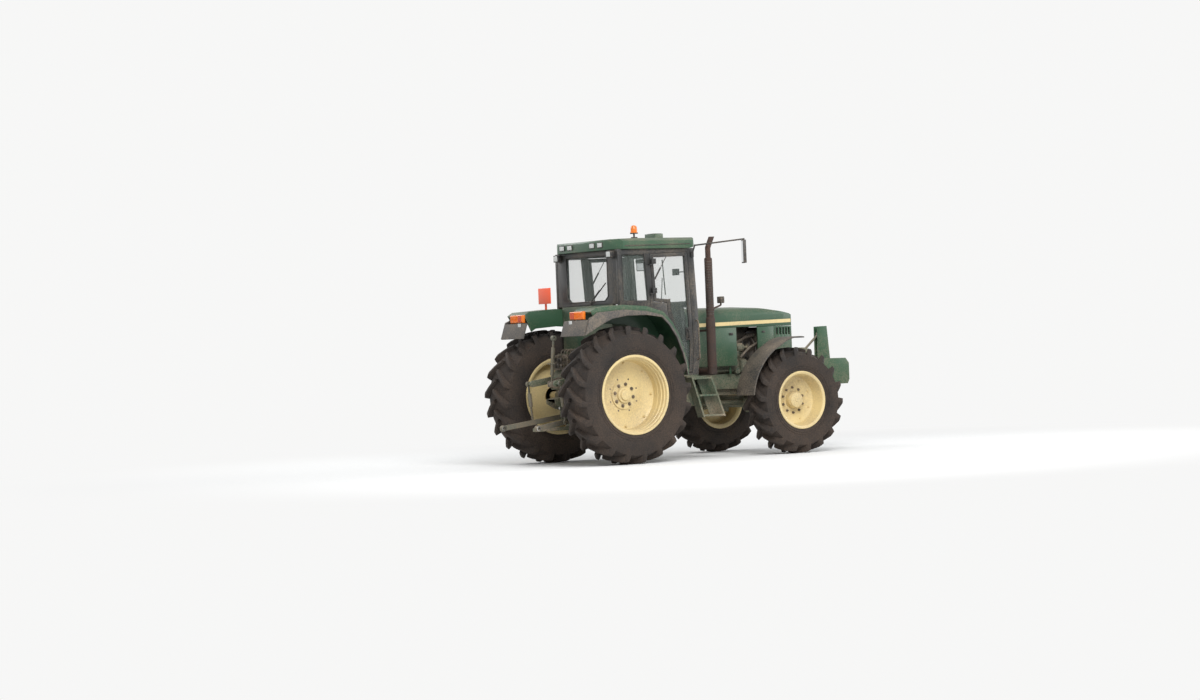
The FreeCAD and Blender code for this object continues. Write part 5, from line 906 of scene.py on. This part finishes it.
# Panes. Toughened glass with a light grey-green tint and a film of dust. Panes and the take-off shaft keep
# their own solids, and every other solid still gets its finish here
glass = surface("window_glass", (0.26, 0.31, 0.28), 0.02, dust=0.05, low=0.0, bump=0.0)
film = glass.node_tree.nodes.new("ShaderNodeMapRange")
film.inputs["To Min"].default_value = 0.11
film.inputs["To Max"].default_value = 0.26
dusty = next(node for node in glass.node_tree.nodes if node.type == "GROUP")
glass.node_tree.links.new(dusty.outputs["Mask"], film.inputs["Value"])
glass.node_tree.links.new(film.outputs[0], glass.node_tree.nodes["Principled BSDF"].inputs["Alpha"])
for node, obj in frame["nodes"].items():
    obj.data.materials.clear()
    obj.data.materials.append(surfaces[slot_of[node]])


# Studio: pale floor and background, broad soft light, and the camera where the photographer stood.
# The floor fades into the background with its distance from the machine
bm = bmesh.new()
bmesh.ops.create_grid(bm, x_segments=1, y_segments=1, size=400.0)
floor_mesh = bpy.data.meshes.new("floor")
bm.to_mesh(floor_mesh)
bm.free()
floor = bpy.data.objects.new("floor", floor_mesh)
bpy.context.scene.collection.objects.link(floor)
floor_look = bpy.data.materials.new("floor")
floor_look.use_nodes = True
tree = floor_look.node_tree
matt = tree.nodes["Principled BSDF"]
matt.inputs["Base Color"].default_value = (0.80, 0.80, 0.79, 1)
matt.inputs["Roughness"].default_value = 0.9
far, middle = tree.nodes.new("ShaderNodeTexCoord"), tree.nodes.new("ShaderNodeVectorMath")
middle.operation = "LENGTH"
fade, glow = tree.nodes.new("ShaderNodeMapRange"), tree.nodes.new("ShaderNodeEmission")
blend = tree.nodes.new("ShaderNodeMixShader")
fade.interpolation_type = "SMOOTHSTEP"
fade.inputs["From Min"].default_value = 3.2
fade.inputs["From Max"].default_value = 9.5
glow.inputs["Color"].default_value = (0.93, 0.93, 0.925, 1)
tree.links.new(far.outputs["Object"], middle.inputs[0])
tree.links.new(middle.outputs["Value"], fade.inputs["Value"])
tree.links.new(fade.outputs[0], blend.inputs["Fac"])
tree.links.new(matt.outputs[0], blend.inputs[1])
tree.links.new(glow.outputs[0], blend.inputs[2])
tree.links.new(blend.outputs[0], tree.nodes["Material Output"].inputs["Surface"])
floor_mesh.materials.append(floor_look)

world = bpy.data.worlds.new("studio")
bpy.context.scene.world = world
world.use_nodes = True
nodes, links = world.node_tree.nodes, world.node_tree.links
sky, backdrop = nodes["Background"], nodes.new("ShaderNodeBackground")
sky.inputs["Color"].default_value = (0.95, 0.97, 1.0, 1)
sky.inputs["Strength"].default_value = 0.6
backdrop.inputs["Color"].default_value = (0.93, 0.93, 0.925, 1)
backdrop.inputs["Strength"].default_value = 1.0
path, choose, either = nodes.new("ShaderNodeLightPath"), nodes.new("ShaderNodeMixShader"), nodes.new("ShaderNodeMath")
either.operation = "MAXIMUM"
links.new(path.outputs["Is Camera Ray"], either.inputs[0])
links.new(path.outputs["Is Glossy Ray"], either.inputs[1])
links.new(either.outputs[0], choose.inputs["Fac"])
links.new(sky.outputs[0], choose.inputs[1])
links.new(backdrop.outputs[0], choose.inputs[2])
links.new(choose.outputs[0], nodes["World Output"].inputs["Surface"])

# columns: name, place, aimed at, size, power
for name, place, aim, size, power in (
    ("key", (-3.5, -9.0, 8.0), (0, 0, 1.2), 6.0, 1180.0),
    ("fill", (9.0, -4.0, 5.0), (0, 0, 1.2), 6.0, 360.0),
    ("back", (-4.0, 9.0, 8.0), (0, 0, 1.2), 6.0, 480.0),
):
    light = bpy.data.lights.new(name, "AREA")
    light.size = size
    light.energy = power
    lamp = bpy.data.objects.new(name, light)
    lamp.location = place
    lamp.rotation_mode = "QUATERNION"
    lamp.rotation_quaternion = (Vector(aim) - Vector(place)).to_track_quat("-Z", "Y")
    bpy.context.scene.collection.objects.link(lamp)

turn = math.radians(-34.2)
back = Vector((math.sin(turn), -math.cos(turn), 0.0))
camera_data = bpy.data.cameras.new("camera")
camera_data.lens = 83.28
camera_data.sensor_width = 36.0
camera_data.shift_x = -0.056
camera_data.shift_y = -0.004
camera_data.clip_end = 1500.0
camera = bpy.data.objects.new("camera", camera_data)
camera.location = at(1.3, 0.0, 1.50) + back * 37.0
camera.rotation_mode = "QUATERNION"
camera.rotation_quaternion = ((-back).to_track_quat("-Z", "Y").to_matrix()
                              @ Matrix.Rotation(math.radians(-2.28), 3, "Z")).to_quaternion()
bpy.context.scene.collection.objects.link(camera)
bpy.context.scene.camera = camera
bpy.context.scene.view_settings.view_transform = "Standard"
